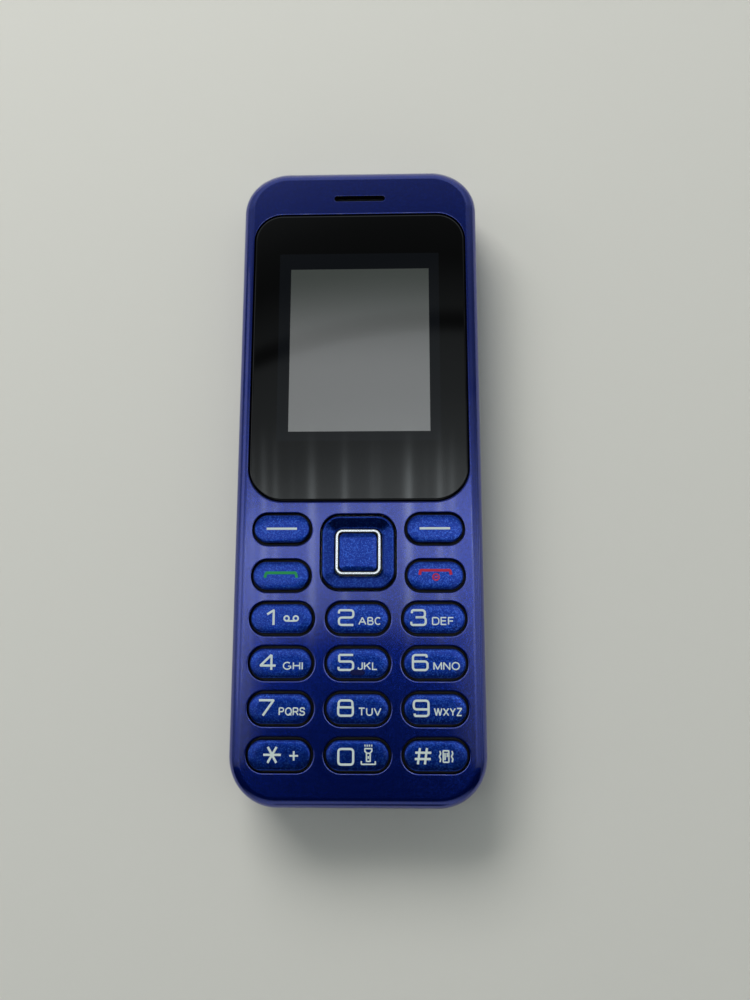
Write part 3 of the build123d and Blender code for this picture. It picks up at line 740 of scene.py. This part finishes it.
def flared_hole(name, centre, width, length, radius, floor_z, segments=16, share=1.0):
    """A cutter for a hole whose rim in the face is eased outwards."""
    lip = LIP_WIDTH * share
    half = Vector((width / 2 + lip, length / 2 + lip, 0))
    cutter = rounded_block(name, Vector((centre.x, centre.y, FACE)) - half,
                           Vector((centre.x, centre.y, FACE + OVERCUT)) + half, radius + lip, segments)
    return flare(cutter, floor_z, share)


def lens_block(name, grow, low, high, segments):
    """A block of the lens outline, whose corners differ at its top and its foot."""
    corner_low, corner_high = box("display_lens")
    block = add_block(name, (corner_low.x - grow, corner_low.y - grow, low),
                      (corner_high.x + grow, corner_high.y + grow, high))
    centre_y = middle("display_lens").y
    bevel(block, lambda e: upright(e, lambda x, y: y > centre_y), LENS_TOP_RADIUS + grow, segments)
    bevel(block, lambda e: upright(e, lambda x, y: y < centre_y), LENS_FOOT_RADIUS + grow, segments)
    return block


def head_share(point):
    """How much of its lean the cover's upper end has at a point."""
    along = max(point.y - (COVER_HIGH.y - HEAD_REACH), 0) / HEAD_REACH
    return along * along * (point.z - COVER_LOW.z) / (FACE - COVER_LOW.z)


def front_shell():
    """Front cover with rounded face edge, lens recess and eased key holes."""
    shell = rounded_block("front_shell", COVER_LOW, COVER_HIGH, BODY_RADIUS, 24)
    bevel(shell, lambda e: at_level(e, FACE), FACE_ROUND, 10)
    bevel(shell, lambda e: at_level(e, COVER_LOW.z), PARTING_EASE, 2)
    for vertex in shell.data.vertices:
        share = head_share(vertex.co)
        vertex.co.y -= HEAD_LEAN * share
        vertex.co.x -= math.copysign(HEAD_PINCH * share, vertex.co.x)
    room_low = Vector((COVER_LOW.x + WALL, COVER_LOW.y + WALL, COVER_LOW.z - OVERCUT))
    room_high = Vector((COVER_HIGH.x - WALL, COVER_HIGH.y - WALL, FACE_UNDER))
    room = rounded_block("room", room_low, room_high, BODY_RADIUS - WALL, 10)
    cut(shell, [room])
    holes = []
    below = FACE_UNDER - 0.5
    for name in NUMBER_KEYS + FUNCTION_KEYS:
        low, high = box(name)
        width, length = high.x - low.x - 2 * FLANGE_LAP, high.y - low.y - 2 * FLANGE_LAP
        holes.append(flared_hole(name + "_hole", middle(name), width, length, length / 2, below))
    low, high = box("nav_ring")
    nav_width = high.x - low.x - 2 * NAV_FLANGE_LAP
    holes.append(flared_hole("nav_hole", middle("nav_ring"), nav_width, nav_width, NAV_RADIUS, below))
    slot = middle("earpiece_mesh")
    holes.append(flared_hole("ear_hole", slot, EAR_WIDTH, EAR_HEIGHT, EAR_HEIGHT / 2, below, 8,
                             EAR_LIP_SHARE))
    cut(shell, holes)
    recess = lens_block("recess", LENS_GAP + LIP_WIDTH, FACE, FACE + OVERCUT, 14)
    cut(shell, [flare(recess, SHELF)])
    smooth(shell, 40)
    place(shell, "housing", COVER_PAINT, "blue_shell", "front_cover")
    # Hole walls and inner faces below the face get painted shade, in black
    paint_shade_below(shell, FACE - SHADED_DEPTH, lambda f: within_wall(f.center / MM))


def within_wall(point):
    """Whether a point lies clear of the cover's outer skin."""
    share = head_share(point)
    across = max(abs(point.x) + HEAD_PINCH * share - (COVER_HIGH.x - BODY_RADIUS), 0)
    along = max(abs(point.y) + HEAD_LEAN * share - (COVER_HIGH.y - BODY_RADIUS), 0)
    out = math.hypot(across, along)
    rise = max(point.z - (FACE - FACE_ROUND), 0)
    skin = BODY_RADIUS - FACE_ROUND + math.sqrt(max(FACE_ROUND ** 2 - rise ** 2, 0))
    return out < skin - SKIN


def rear_shell():
    """Rear housing: the solid's own form, merged and with eased edges."""
    solid = frame["nodes"]["rear_housing"]
    shell = bpy.data.objects.new("rear_shell", solid.data.copy())
    shell.data.name = "rear_shell"
    bpy.context.scene.collection.objects.link(shell)
    make_active(shell)
    shell.scale = (1 / MM, 1 / MM, 1 / MM)
    bpy.ops.object.transform_apply(location=True, rotation=True, scale=True)
    bpy.ops.object.mode_set(mode="EDIT")
    bpy.ops.mesh.select_all(action="SELECT")
    bpy.ops.mesh.remove_doubles(threshold=1e-3)
    bpy.ops.mesh.dissolve_limited(angle_limit=math.radians(0.5))
    bpy.ops.mesh.customdata_custom_splitnormals_clear()
    bpy.ops.object.mode_set(mode="OBJECT")
    ease_edges(shell, SHELL_EASE, 1)
    smooth(shell, 30)
    place(shell, "housing", REAR_PAINT, "housing_blue", "rear_housing")


def back_shell():
    """Battery cover: rounded tray with its grille, camera hole and thumb notch."""
    low, high = box("battery_cover")
    shell = rounded_block("back_shell", low, (high.x, high.y, BACK_RIM), BODY_RADIUS, 24)
    bevel(shell, lambda e: at_level(e, low.z), BACK_ROUND, 8)
    bevel(shell, lambda e: at_level(e, BACK_RIM), PARTING_EASE, 2)
    room = rounded_block("room", (low.x + BACK_WALL, low.y + BACK_WALL, BACK_PLATE),
                         (high.x - BACK_WALL, high.y - BACK_WALL, BACK_RIM + OVERCUT),
                         BODY_RADIUS - BACK_WALL, 10)
    cut(shell, [room])
    speaker = middle("loudspeaker")
    cutters = []
    for index in range(GRILLE_SLOTS):
        y = speaker.y + (index - GRILLE_SLOTS // 2) * GRILLE_PITCH
        slot_low = (speaker.x - GRILLE_HALF[0], y - GRILLE_HALF[1], low.z - OVERCUT)
        slot_high = (speaker.x + GRILLE_HALF[0], y + GRILLE_HALF[1], BACK_PLATE + 0.5)
        cutters.append(rounded_block("slot", slot_low, slot_high, GRILLE_RADIUS, 6))
    window_low, window_high = box("camera_window")
    rim = Vector((CAMERA_GAP, CAMERA_GAP, 0))
    cutters.append(rounded_block("window_hole", window_low - rim - Vector((0, 0, OVERCUT)),
                                 window_high + rim + Vector((0, 0, OVERCUT)), CAMERA_RADIUS, 8))
    cutters.append(add_block("notch", (-NOTCH_HALF, low.y - OVERCUT, BACK_RIM - NOTCH_DEPTH),
                             (NOTCH_HALF, low.y + BACK_WALL + 0.1, BACK_RIM + OVERCUT)))
    cut(shell, cutters)
    ease_edges(shell, SHELL_EASE, 2)
    smooth(shell, 30)
    place(shell, "battery_cover", COVER_PAINT, "blue_shell", "battery_cover")


# Keys

def crown(piece, level, steps):
    """Domes a flat top by insets that rise less and less."""
    for width, rise in steps:
        inset(piece, lambda f, z=level: faces_up(f, z), width, rise)
        level += rise


def key_cap(name):
    """Pill key on its square flange, with a rounded edge and a slight crown."""
    low, high = box(name)
    centre = middle(name)
    top = KEY_TOP - KEY_CROWN_DROP
    flange_top = low.z + FLANGE_THICKNESS
    inner = (high.x - low.x) / 2 - FLANGE_LAP - KEY_GAP / 2
    half_length = (high.y - low.y) / 2 - FLANGE_LAP - KEY_GAP

    def in_middle(face):
        at = face.calc_center_median()
        return faces_up(face, flange_top) and abs(at.x - centre.x) < 1e-2 and abs(at.y - centre.y) < 1e-2

    def at_corner(edge):
        within = upright(edge, lambda x, y: abs(x - centre.x) < inner)
        return within and max(v.co.z for v in edge.verts) > top - 1e-3

    cap = add_block(name + "_cap", low, (high.x, high.y, flange_top))
    inset(cap, lambda f: faces_up(f, flange_top), FLANGE_LAP + KEY_GAP, 0)
    lift(cap, in_middle, top - flange_top)
    bevel(cap, at_corner, half_length - 0.12, 14)
    bevel(cap, lambda e: at_level(e, top), KEY_EDGE, 4)
    crown(cap, top, KEY_CROWN)
    smooth(cap, 50)
    place(cap, name, KEY_PAINT, "key_blue", name)
    # The cap's walls and flange below the face get painted shade, in black
    paint_shade_below(cap, FACE - SHADED_DEPTH)


def middle_bar():
    """Raised bar that marks the middle key."""
    centre = middle("key_5")
    top = box("key_5")[1].z
    y = centre.y - BAR_DROP
    bar = rounded_block("middle_bar", (centre.x - BAR_HALF[0], y - BAR_HALF[1], KEY_TOP - 0.3),
                        (centre.x + BAR_HALF[0], y + BAR_HALF[1], top), 0.49, 8)
    bevel(bar, lambda e: at_level(e, top), 0.12, 3)
    smooth(bar, 50)
    place(bar, "key_5", BAR_BLUE, "key_blue")


def nav_piece():
    """Square rocking ring, dished towards the centre key."""
    low, high = box("nav_ring")
    centre = middle("nav_ring")
    half = (high.x - low.x) / 2 - NAV_FLANGE_LAP - NAV_GAP
    corner = Vector((half, half, 0))
    ring = rounded_block("nav_square", Vector((centre.x, centre.y, low.z)) - corner,
                         Vector((centre.x, centre.y, high.z)) + corner, NAV_RADIUS - NAV_GAP, 14)
    bevel(ring, lambda e: at_level(e, high.z), NAV_EDGE, 4)
    slope = half - NAV_EDGE - NAV_RIM - NAV_HOLE_HALF + 0.25
    inset(ring, lambda f: faces_up(f, high.z), NAV_RIM, 0)
    inset(ring, lambda f: faces_up(f, high.z) and len(f.verts) > 8, slope, -NAV_DISH)
    hole_low = Vector((centre.x - NAV_HOLE_HALF, centre.y - NAV_HOLE_HALF, low.z - OVERCUT))
    hole_high = Vector((centre.x + NAV_HOLE_HALF, centre.y + NAV_HOLE_HALF, high.z + OVERCUT))
    cut(ring, [rounded_block("hole", hole_low, hole_high, NAV_HOLE_RADIUS, 10)])
    smooth(ring, 30)
    place(ring, "nav_ring", KEY_PAINT, "key_blue", "nav_ring")
    # The ring's walls and flange deep in its hole get painted shade, in black
    paint_shade_below(ring, FACE - 2 * SHADED_DEPTH)


def trim_piece():
    """Plated frame round the centre key."""
    low, high = box("centre_trim")
    trim = rounded_block("plated_frame", low, high, TRIM_RADIUS, 10)
    band = Vector((TRIM_BAND, TRIM_BAND, 0))
    cut(trim, [rounded_block("inner", low + band - Vector((0, 0, OVERCUT)),
                             high - band + Vector((0, 0, OVERCUT)), TRIM_INNER_RADIUS, 10)])
    ease_edges(trim, 0.13, 3)
    smooth(trim, 40)
    place(trim, "centre_key", PLATED, "bright_trim", "centre_trim")


def centre_piece():
    """Square centre key, slightly domed."""
    low, high = box("centre_key")
    trim_low, trim_high = box("centre_trim")
    gap = Vector((TRIM_BAND + CENTRE_GAP, TRIM_BAND + CENTRE_GAP, 0))
    top = high.z - CENTRE_CROWN_DROP
    cap = rounded_block("centre_cap", Vector((trim_low.x, trim_low.y, low.z)) + gap,
                        Vector((trim_high.x, trim_high.y, top)) - gap, CENTRE_RADIUS, 8)
    bevel(cap, lambda e: at_level(e, top), 0.25, 4)
    crown(cap, top, CENTRE_CROWN)
    smooth(cap, 50)
    place(cap, "centre_key", KEY_PAINT, "key_blue", "centre_key")


def lens_piece():
    """Lens with a rounded upper edge."""
    low, high = box("display_lens")
    lens = lens_block("lens", 0, low.z, high.z, 16)
    bevel(lens, lambda e: at_level(e, high.z), LENS_EDGE, 5)
    smooth(lens, 40)
    place(lens, "housing", LENS, "lens_black", "display_lens")


# Print on the keys

def round_corners(points, radius, closed):
    """A path whose corners are arcs of one radius."""
    path = []
    count = len(points)
    for index, point in enumerate(points):
        corner = Vector(point)
        if not closed and index in (0, count - 1):
            path.append(corner)
            continue
        before = Vector(points[index - 1]) - corner
        after = Vector(points[(index + 1) % count]) - corner
        half_turn = before.angle(after) / 2
        reach = min(radius / math.tan(half_turn), before.length / 2, after.length / 2)
        true_radius = reach * math.tan(half_turn)
        inward = (before.normalized() + after.normalized()).normalized()
        centre = corner + inward * (true_radius / math.sin(half_turn))
        start = corner + before.normalized() * reach - centre
        end = corner + after.normalized() * reach - centre
        sweep = start.angle(end)
        for step in range(ARC_STEPS + 1):
            share = step / ARC_STEPS
            blend = start * math.sin((1 - share) * sweep) + end * math.sin(share * sweep)
            path.append(centre + blend / math.sin(sweep))
    return path


def ribbon(path, closed, width, at, level):
    """A flat stroke along a path, as thin print on a surface."""
    data = bpy.data.curves.new("stroke", "CURVE")
    data.dimensions = "3D"
    data.bevel_depth = width / 2
    data.bevel_resolution = 2
    data.use_fill_caps = True
    spline = data.splines.new("POLY")
    spline.points.add(len(path) - 1)
    for point, place_at in zip(spline.points, path):
        point.co = (place_at.x, place_at.y, 0, 1)
    spline.use_cyclic_u = closed
    stroke = bpy.data.objects.new("stroke", data)
    bpy.context.scene.collection.objects.link(stroke)
    make_active(stroke)
    bpy.ops.object.convert(target="MESH")
    stroke = bpy.context.object
    stroke.scale = (1, 1, 2 * PRINT_RISE / width)
    stroke.location = (at.x, at.y, level)
    bpy.ops.object.transform_apply(location=True, rotation=True, scale=True)
    return stroke


def strokes(paths, at, level, size=(1, 1), radius=0.25, width=STROKE):
    """Several strokes in one scale, from unit coordinates."""
    made = []
    for points, closed in paths:
        scaled = [(x * size[0], y * size[1]) for x, y in points]
        cornered = radius and 2 < len(scaled) < 12
        path = round_corners(scaled, radius, closed) if cornered else [Vector(p) for p in scaled]
        made.append(ribbon([Vector((p[0], p[1], 0)) for p in path], closed, width, at, level))
    return made


def capitals(words, at, level, width):
    """Plain capitals drawn as strokes and fitted into a width."""
    shares = [CAPITALS[letter][0] for letter in words]
    gaps = LETTER_GAP * (len(words) - 1) + LETTER_STROKE
    fit = width / (sum(shares) + gaps)
    x = LETTER_STROKE / 2
    made = []
    for letter in words:
        share, radius, paths = CAPITALS[letter]
        made += strokes(paths, at + Vector((x, LETTER_STROKE / 2, 0)), level,
                        (share * fit, LETTER_HEIGHT), radius, LETTER_STROKE)
        x += (share + LETTER_GAP) * fit
    return made


def ring_path(x, y, radius):
    """A circle of twenty points."""
    return [(x + radius * math.cos(2 * math.pi * n / 20), y + radius * math.sin(2 * math.pi * n / 20))
            for n in range(20)]


def bow(start, end, count=14):
    """Part of the ellipse that fills the unit box, from one angle to another in degrees."""
    angles = [math.radians(start + (end - start) * n / count) for n in range(count + 1)]
    return [(0.5 + 0.5 * math.cos(a), 0.5 + 0.5 * math.sin(a)) for a in angles]


# Paths in unit boxes, each with whether it is closed
DIGITS = {
    "key_0": [([(0, 0), (1, 0), (1, 1), (0, 1)], True)],
    "key_1": [([(0, 0.72), (0.45, 1), (0.45, 0)], False)],
    "key_2": [([(0, 0.78), (0, 1), (1, 1), (1, 0.5), (0, 0.5), (0, 0), (1, 0)], False)],
    "key_3": [([(0.05, 0.8), (0.05, 1), (0.95, 1), (0.95, 0.52), (0.3, 0.52)], False),
              ([(0.5, 0.52), (1, 0.52), (1, 0), (0, 0), (0, 0.22)], False)],
    "key_4": [([(0.76, 1), (0, 0.28), (1.05, 0.28)], False), ([(0.76, 1), (0.76, 0)], False)],
    "key_5": [([(1, 1), (0.04, 1)], False), ([(0.04, 1), (0.04, 0.56)], False),
              ([(0.04, 0.56), (1, 0.56), (1, 0), (0, 0), (0, 0.2)], False)],
    "key_6": [([(0.94, 0.84), (0.94, 1), (0, 1), (0, 0), (1, 0), (1, 0.57), (0, 0.57)], False)],
    "key_7": [([(0, 1), (1, 1), (0.28, 0)], False)],
    "key_8": [([(0, 0.56), (0.03, 0.56), (0.03, 1), (0.97, 1), (0.97, 0.56), (1, 0.56), (1, 0), (0, 0)],
               True),
              ([(0.05, 0.55), (0.95, 0.55)], False)],
    "key_9": [([(0.06, 0.16), (0.06, 0), (1, 0), (1, 1), (0, 1), (0, 0.43), (1, 0.43)], False)],
}
# Where a digit starts, from its key's middle
DIGIT_START = -3.67
DIGIT_FOOT = -1.15
ZERO_FOOT = -1.52
LETTER_FOOT = -1.17
DIGIT_LEFT = {"key_1": -2.85, "key_3": -4.45, "key_4": -3.9, "key_6": -4.2, "key_7": -3.98, "key_9": -4.1,
              "key_0": -3.57}
SHARP_DIGITS = ("key_1", "key_4", "key_7")
BOWL = [(0, 1), (0.95, 1), (0.95, 0.47), (0, 0.47)]
STEM = [(0, 0), (0, 1)]
# Each capital's width, the radius of its corners and its paths
CAPITALS = {
    "A": (1.3, 0.03, [([(0, 0), (0.5, 1), (1, 0)], False), ([(0.2, 0.36), (0.8, 0.36)], False)]),
    "B": (0.95, 0.3, [(STEM, False), ([(0, 1), (0.88, 1), (0.88, 0.54), (0, 0.54)], False),
                      ([(0.2, 0.53), (1, 0.53), (1, 0), (0, 0)], False)]),
    "C": (1.1, 0, [(bow(48, 312), False)]),
    "D": (1.1, 0.5, [(STEM, False), ([(0, 1), (1, 1), (1, 0), (0, 0)], False)]),
    "E": (0.9, 0.02, [([(1, 1), (0, 1), (0, 0), (1, 0)], False), ([(0, 0.52), (0.92, 0.52)], False)]),
    "F": (0.85, 0.02, [([(1, 1), (0, 1), (0, 0)], False), ([(0, 0.5), (0.9, 0.5)], False)]),
    "G": (1.25, 0, [(bow(48, 335), False), ([(0.62, 0.45), (0.97, 0.45), (0.97, 0.12)], False)]),
    "H": (1.05, 0, [(STEM, False), ([(1, 0), (1, 1)], False), ([(0, 0.52), (1, 0.52)], False)]),
    "I": (0.01, 0, [(STEM, False)]),
    "J": (0.7, 0.33, [([(1, 1), (1, 0), (0, 0), (0, 0.3)], False)]),
    "K": (1.05, 0, [(STEM, False), ([(0.96, 1), (0, 0.36)], False), ([(0.38, 0.61), (1, 0)], False)]),
    "L": (0.78, 0.02, [([(0, 1), (0, 0), (1, 0)], False)]),
    "M": (1.3, 0.02, [([(0, 0), (0, 1), (0.5, 0.05), (1, 1), (1, 0)], False)]),
    "N": (1.05, 0.02, [([(0, 0), (0, 1), (1, 0), (1, 1)], False)]),
    "O": (1.25, 0, [(bow(0, 342, 19), True)]),
    "P": (0.95, 0.3, [(STEM, False), (BOWL, False)]),
    "Q": (1.25, 0, [(bow(0, 342, 19), True), ([(0.62, 0.26), (1.0, -0.04)], False)]),
    "R": (1.05, 0.3, [(STEM, False), (BOWL, False), ([(0.55, 0.47), (1, 0)], False)]),
    "S": (0.95, 0.3, [([(0.96, 0.76), (0.93, 1), (0.03, 1), (0.03, 0.54), (1, 0.48), (1, 0), (0, 0),
                        (0, 0.24)], False)]),
    "T": (1.1, 0, [([(0, 1), (1, 1)], False), ([(0.5, 1), (0.5, 0)], False)]),
    "U": (1.05, 0.45, [([(0, 1), (0, 0), (1, 0), (1, 1)], False)]),
    "V": (1.25, 0.02, [([(0, 1), (0.5, 0), (1, 1)], False)]),
    "W": (1.7, 0.02, [([(0, 1), (0.26, 0), (0.5, 1), (0.74, 0), (1, 1)], False)]),
    "X": (1.15, 0, [([(0, 0), (1, 1)], False), ([(0, 1), (1, 0)], False)]),
    "Y": (1.15, 0.02, [([(0, 1), (0.5, 0.45), (1, 1)], False), ([(0.5, 0.45), (0.5, 0)], False)]),
    "Z": (1.05, 0.02, [([(0, 1), (1, 1), (0, 0), (1, 0)], False)]),
}
# Each key's capitals, where they start and how wide they are
LETTERS = {"key_2": ("ABC", 0.1, 4.3), "key_3": ("DEF", -0.45, 4.05), "key_4": ("GHI", 0.42, 3.7),
           "key_5": ("JKL", 0.03, 3.62), "key_6": ("MNO", -0.3, 4.85), "key_7": ("PQRS", -0.17, 4.75),
           "key_8": ("TUV", 0.15, 4.2), "key_9": ("WXYZ", -0.3, 5.05)}


def key_print(name):
    """Everything printed on one key, as one thin piece."""
    at = middle(name)
    level = KEY_TOP - PRINT_SINK
    made = []
    colour = PRINT
    if name in DIGITS:
        left = DIGIT_LEFT.get(name, DIGIT_START) + STROKE / 2
        foot = DIGIT_FOOT if name != "key_0" else ZERO_FOOT
        radius = 0.04 if name in SHARP_DIGITS else 0.5
        made += strokes(DIGITS[name], at + Vector((left, foot, 0)), level, DIGIT_SIZE, radius)
    if name in LETTERS:
        words, left, width = LETTERS[name]
        made += capitals(words, at + Vector((left, LETTER_FOOT, 0)), level, width)
    if name == "key_1":
        reels = [(ring_path(0.55, 0.55, 0.44), True),
                 (ring_path(2.25, 0.55, 0.44), True),
                 ([(0.55, 0.1), (2.25, 0.1)], False)]
        made += strokes(reels, at + Vector((0.4, -0.52, 0)), level, radius=0.02, width=0.3)
    if name == "star_key":
        arms = []
        for turn in range(3):
            angle = math.radians(60 * turn)
            arms.append(([(-1.58 * math.cos(angle), -1.58 * math.sin(angle)),
                          (1.58 * math.cos(angle), 1.58 * math.sin(angle))], False))
        made += strokes(arms, at + Vector((-1.2, 0.1, 0)), level)
        plus = [([(-0.78, 0), (0.78, 0)], False), ([(0, -0.8), (0, 0.8)], False)]
        made += strokes(plus, at + Vector((2.7, -0.05, 0)), level, width=0.32)
    if name == "hash_key":
        bars = [([(-0.9, -1.4), (-0.5, 1.4)], False), ([(0.35, -1.4), (0.75, 1.4)], False),
                ([(-1.35, 0.58), (1.5, 0.58)], False), ([(-1.45, -0.5), (1.4, -0.5)], False)]
        made += strokes(bars, at + Vector((-2.35, 0, 0)), level)
        shaking = [([(-0.5, -0.98), (0.5, -0.98), (0.5, 0.98), (-0.5, 0.98)], True),
                   ([(-0.18, -0.6), (-0.18, 0.62)], False),
                   ([(0.2, -0.1), (0.2, 0.62)], False)]
        for x in (-1.08, 1.08):
            wave = [(x, -0.95), (x + 0.14, -0.45), (x - 0.12, 0), (x + 0.14, 0.45), (x, 0.95)]
            shaking.append((wave, False))
        made += strokes(shaking, at + Vector((1.78, -0.05, 0)), level, radius=0.1, width=0.25)
    if name == "key_0":
        torch_at = at + Vector((2.0, 0.05, 0))
        torch = [([(-1.25, -0.95), (-1.25, -1.5), (1.25, -1.5), (1.25, -0.95)], False),
                 ([(-0.33, -1.0), (0.33, -1.0), (0.33, 0.4), (-0.33, 0.4)], True),
                 ([(-0.33, 0.45), (-0.62, 0.75), (-0.62, 1.2), (0.62, 1.2), (0.62, 0.75), (0.33, 0.45)],
                  False),
                 ([(0, -0.55), (0, -0.1)], False)]
        made += strokes(torch, torch_at, level, radius=0.04, width=0.25)
        rays = [([(x, 1.55), (x, 1.9)], False) for x in (-0.6, -0.2, 0.2, 0.6)]
        made += strokes(rays, torch_at, level, width=0.22)
    if name in ("left_soft_key", "right_soft_key"):
        made += strokes([([(-2.85, 0), (2.85, 0)], False)], at, level, width=0.42)
    if name == "call_key":
        colour = GREEN_PRINT
        receiver = [([(-3.0, -0.4), (-2.75, 0.5), (2.75, 0.5), (3.0, -0.4)], False)]
        made += strokes(receiver, at, level, radius=0.2, width=0.54)
    if name == "end_key":
        colour = RED_PRINT
        receiver = [([(-2.9, 0.12), (-2.75, 0.95), (2.75, 0.95), (2.9, 0.12)], False)]
        made += strokes(receiver, at, level, radius=0.2, width=0.5)
        power = [(ring_path(0.12, -0.3, 0.57), True), ([(-0.2, -0.3), (0.44, -0.3)], False)]
        made += strokes(power, at, level, radius=0.02, width=0.27)
    print_piece = join(made, name + "_print")
    smooth(print_piece, 40)
    place(print_piece, name, colour, "key_blue")


# Finishes of the solids that stay

CAD_FINISHES = {
    "blue_shell": COVER_PAINT, "housing_blue": REAR_PAINT, "key_blue": KEY_PAINT, "bright_trim": PLATED,
    "lens_black": LENS, "clear_window": CLEAR, "black_plastic": BLACK_PLASTIC_AND_GAP_SHADE, "mesh_black": BLACK_MESH,
    "rubber_clear": SILICONE, "board_green": BOARD, "sheet_steel": TINNED, "gold_contact": GOLD,
    "display_glass": GLASS_GREY, "light_guide": GUIDE, "flex_amber": AMBER, "battery_silver": BATTERY,
}
NODE_FINISHES = {"camera_window": DARK_GLASS, "torch_lens": TORCH_GLASS}


def dress_solids():
    """Gives each solid that stays the finish of its material slot."""
    for part in frame["record"]["subparts"]:
        solid = frame["nodes"][part["node"]]
        for slot in solid.material_slots:
            slot.material = NODE_FINISHES.get(part["node"], CAD_FINISHES[part["material_slot"]])


camera()
room()
dress_solids()
front_shell()
rear_shell()
back_shell()
lens_piece()
nav_piece()
trim_piece()
centre_piece()
for key_name in NUMBER_KEYS + FUNCTION_KEYS:
    key_cap(key_name)
    key_print(key_name)
middle_bar()
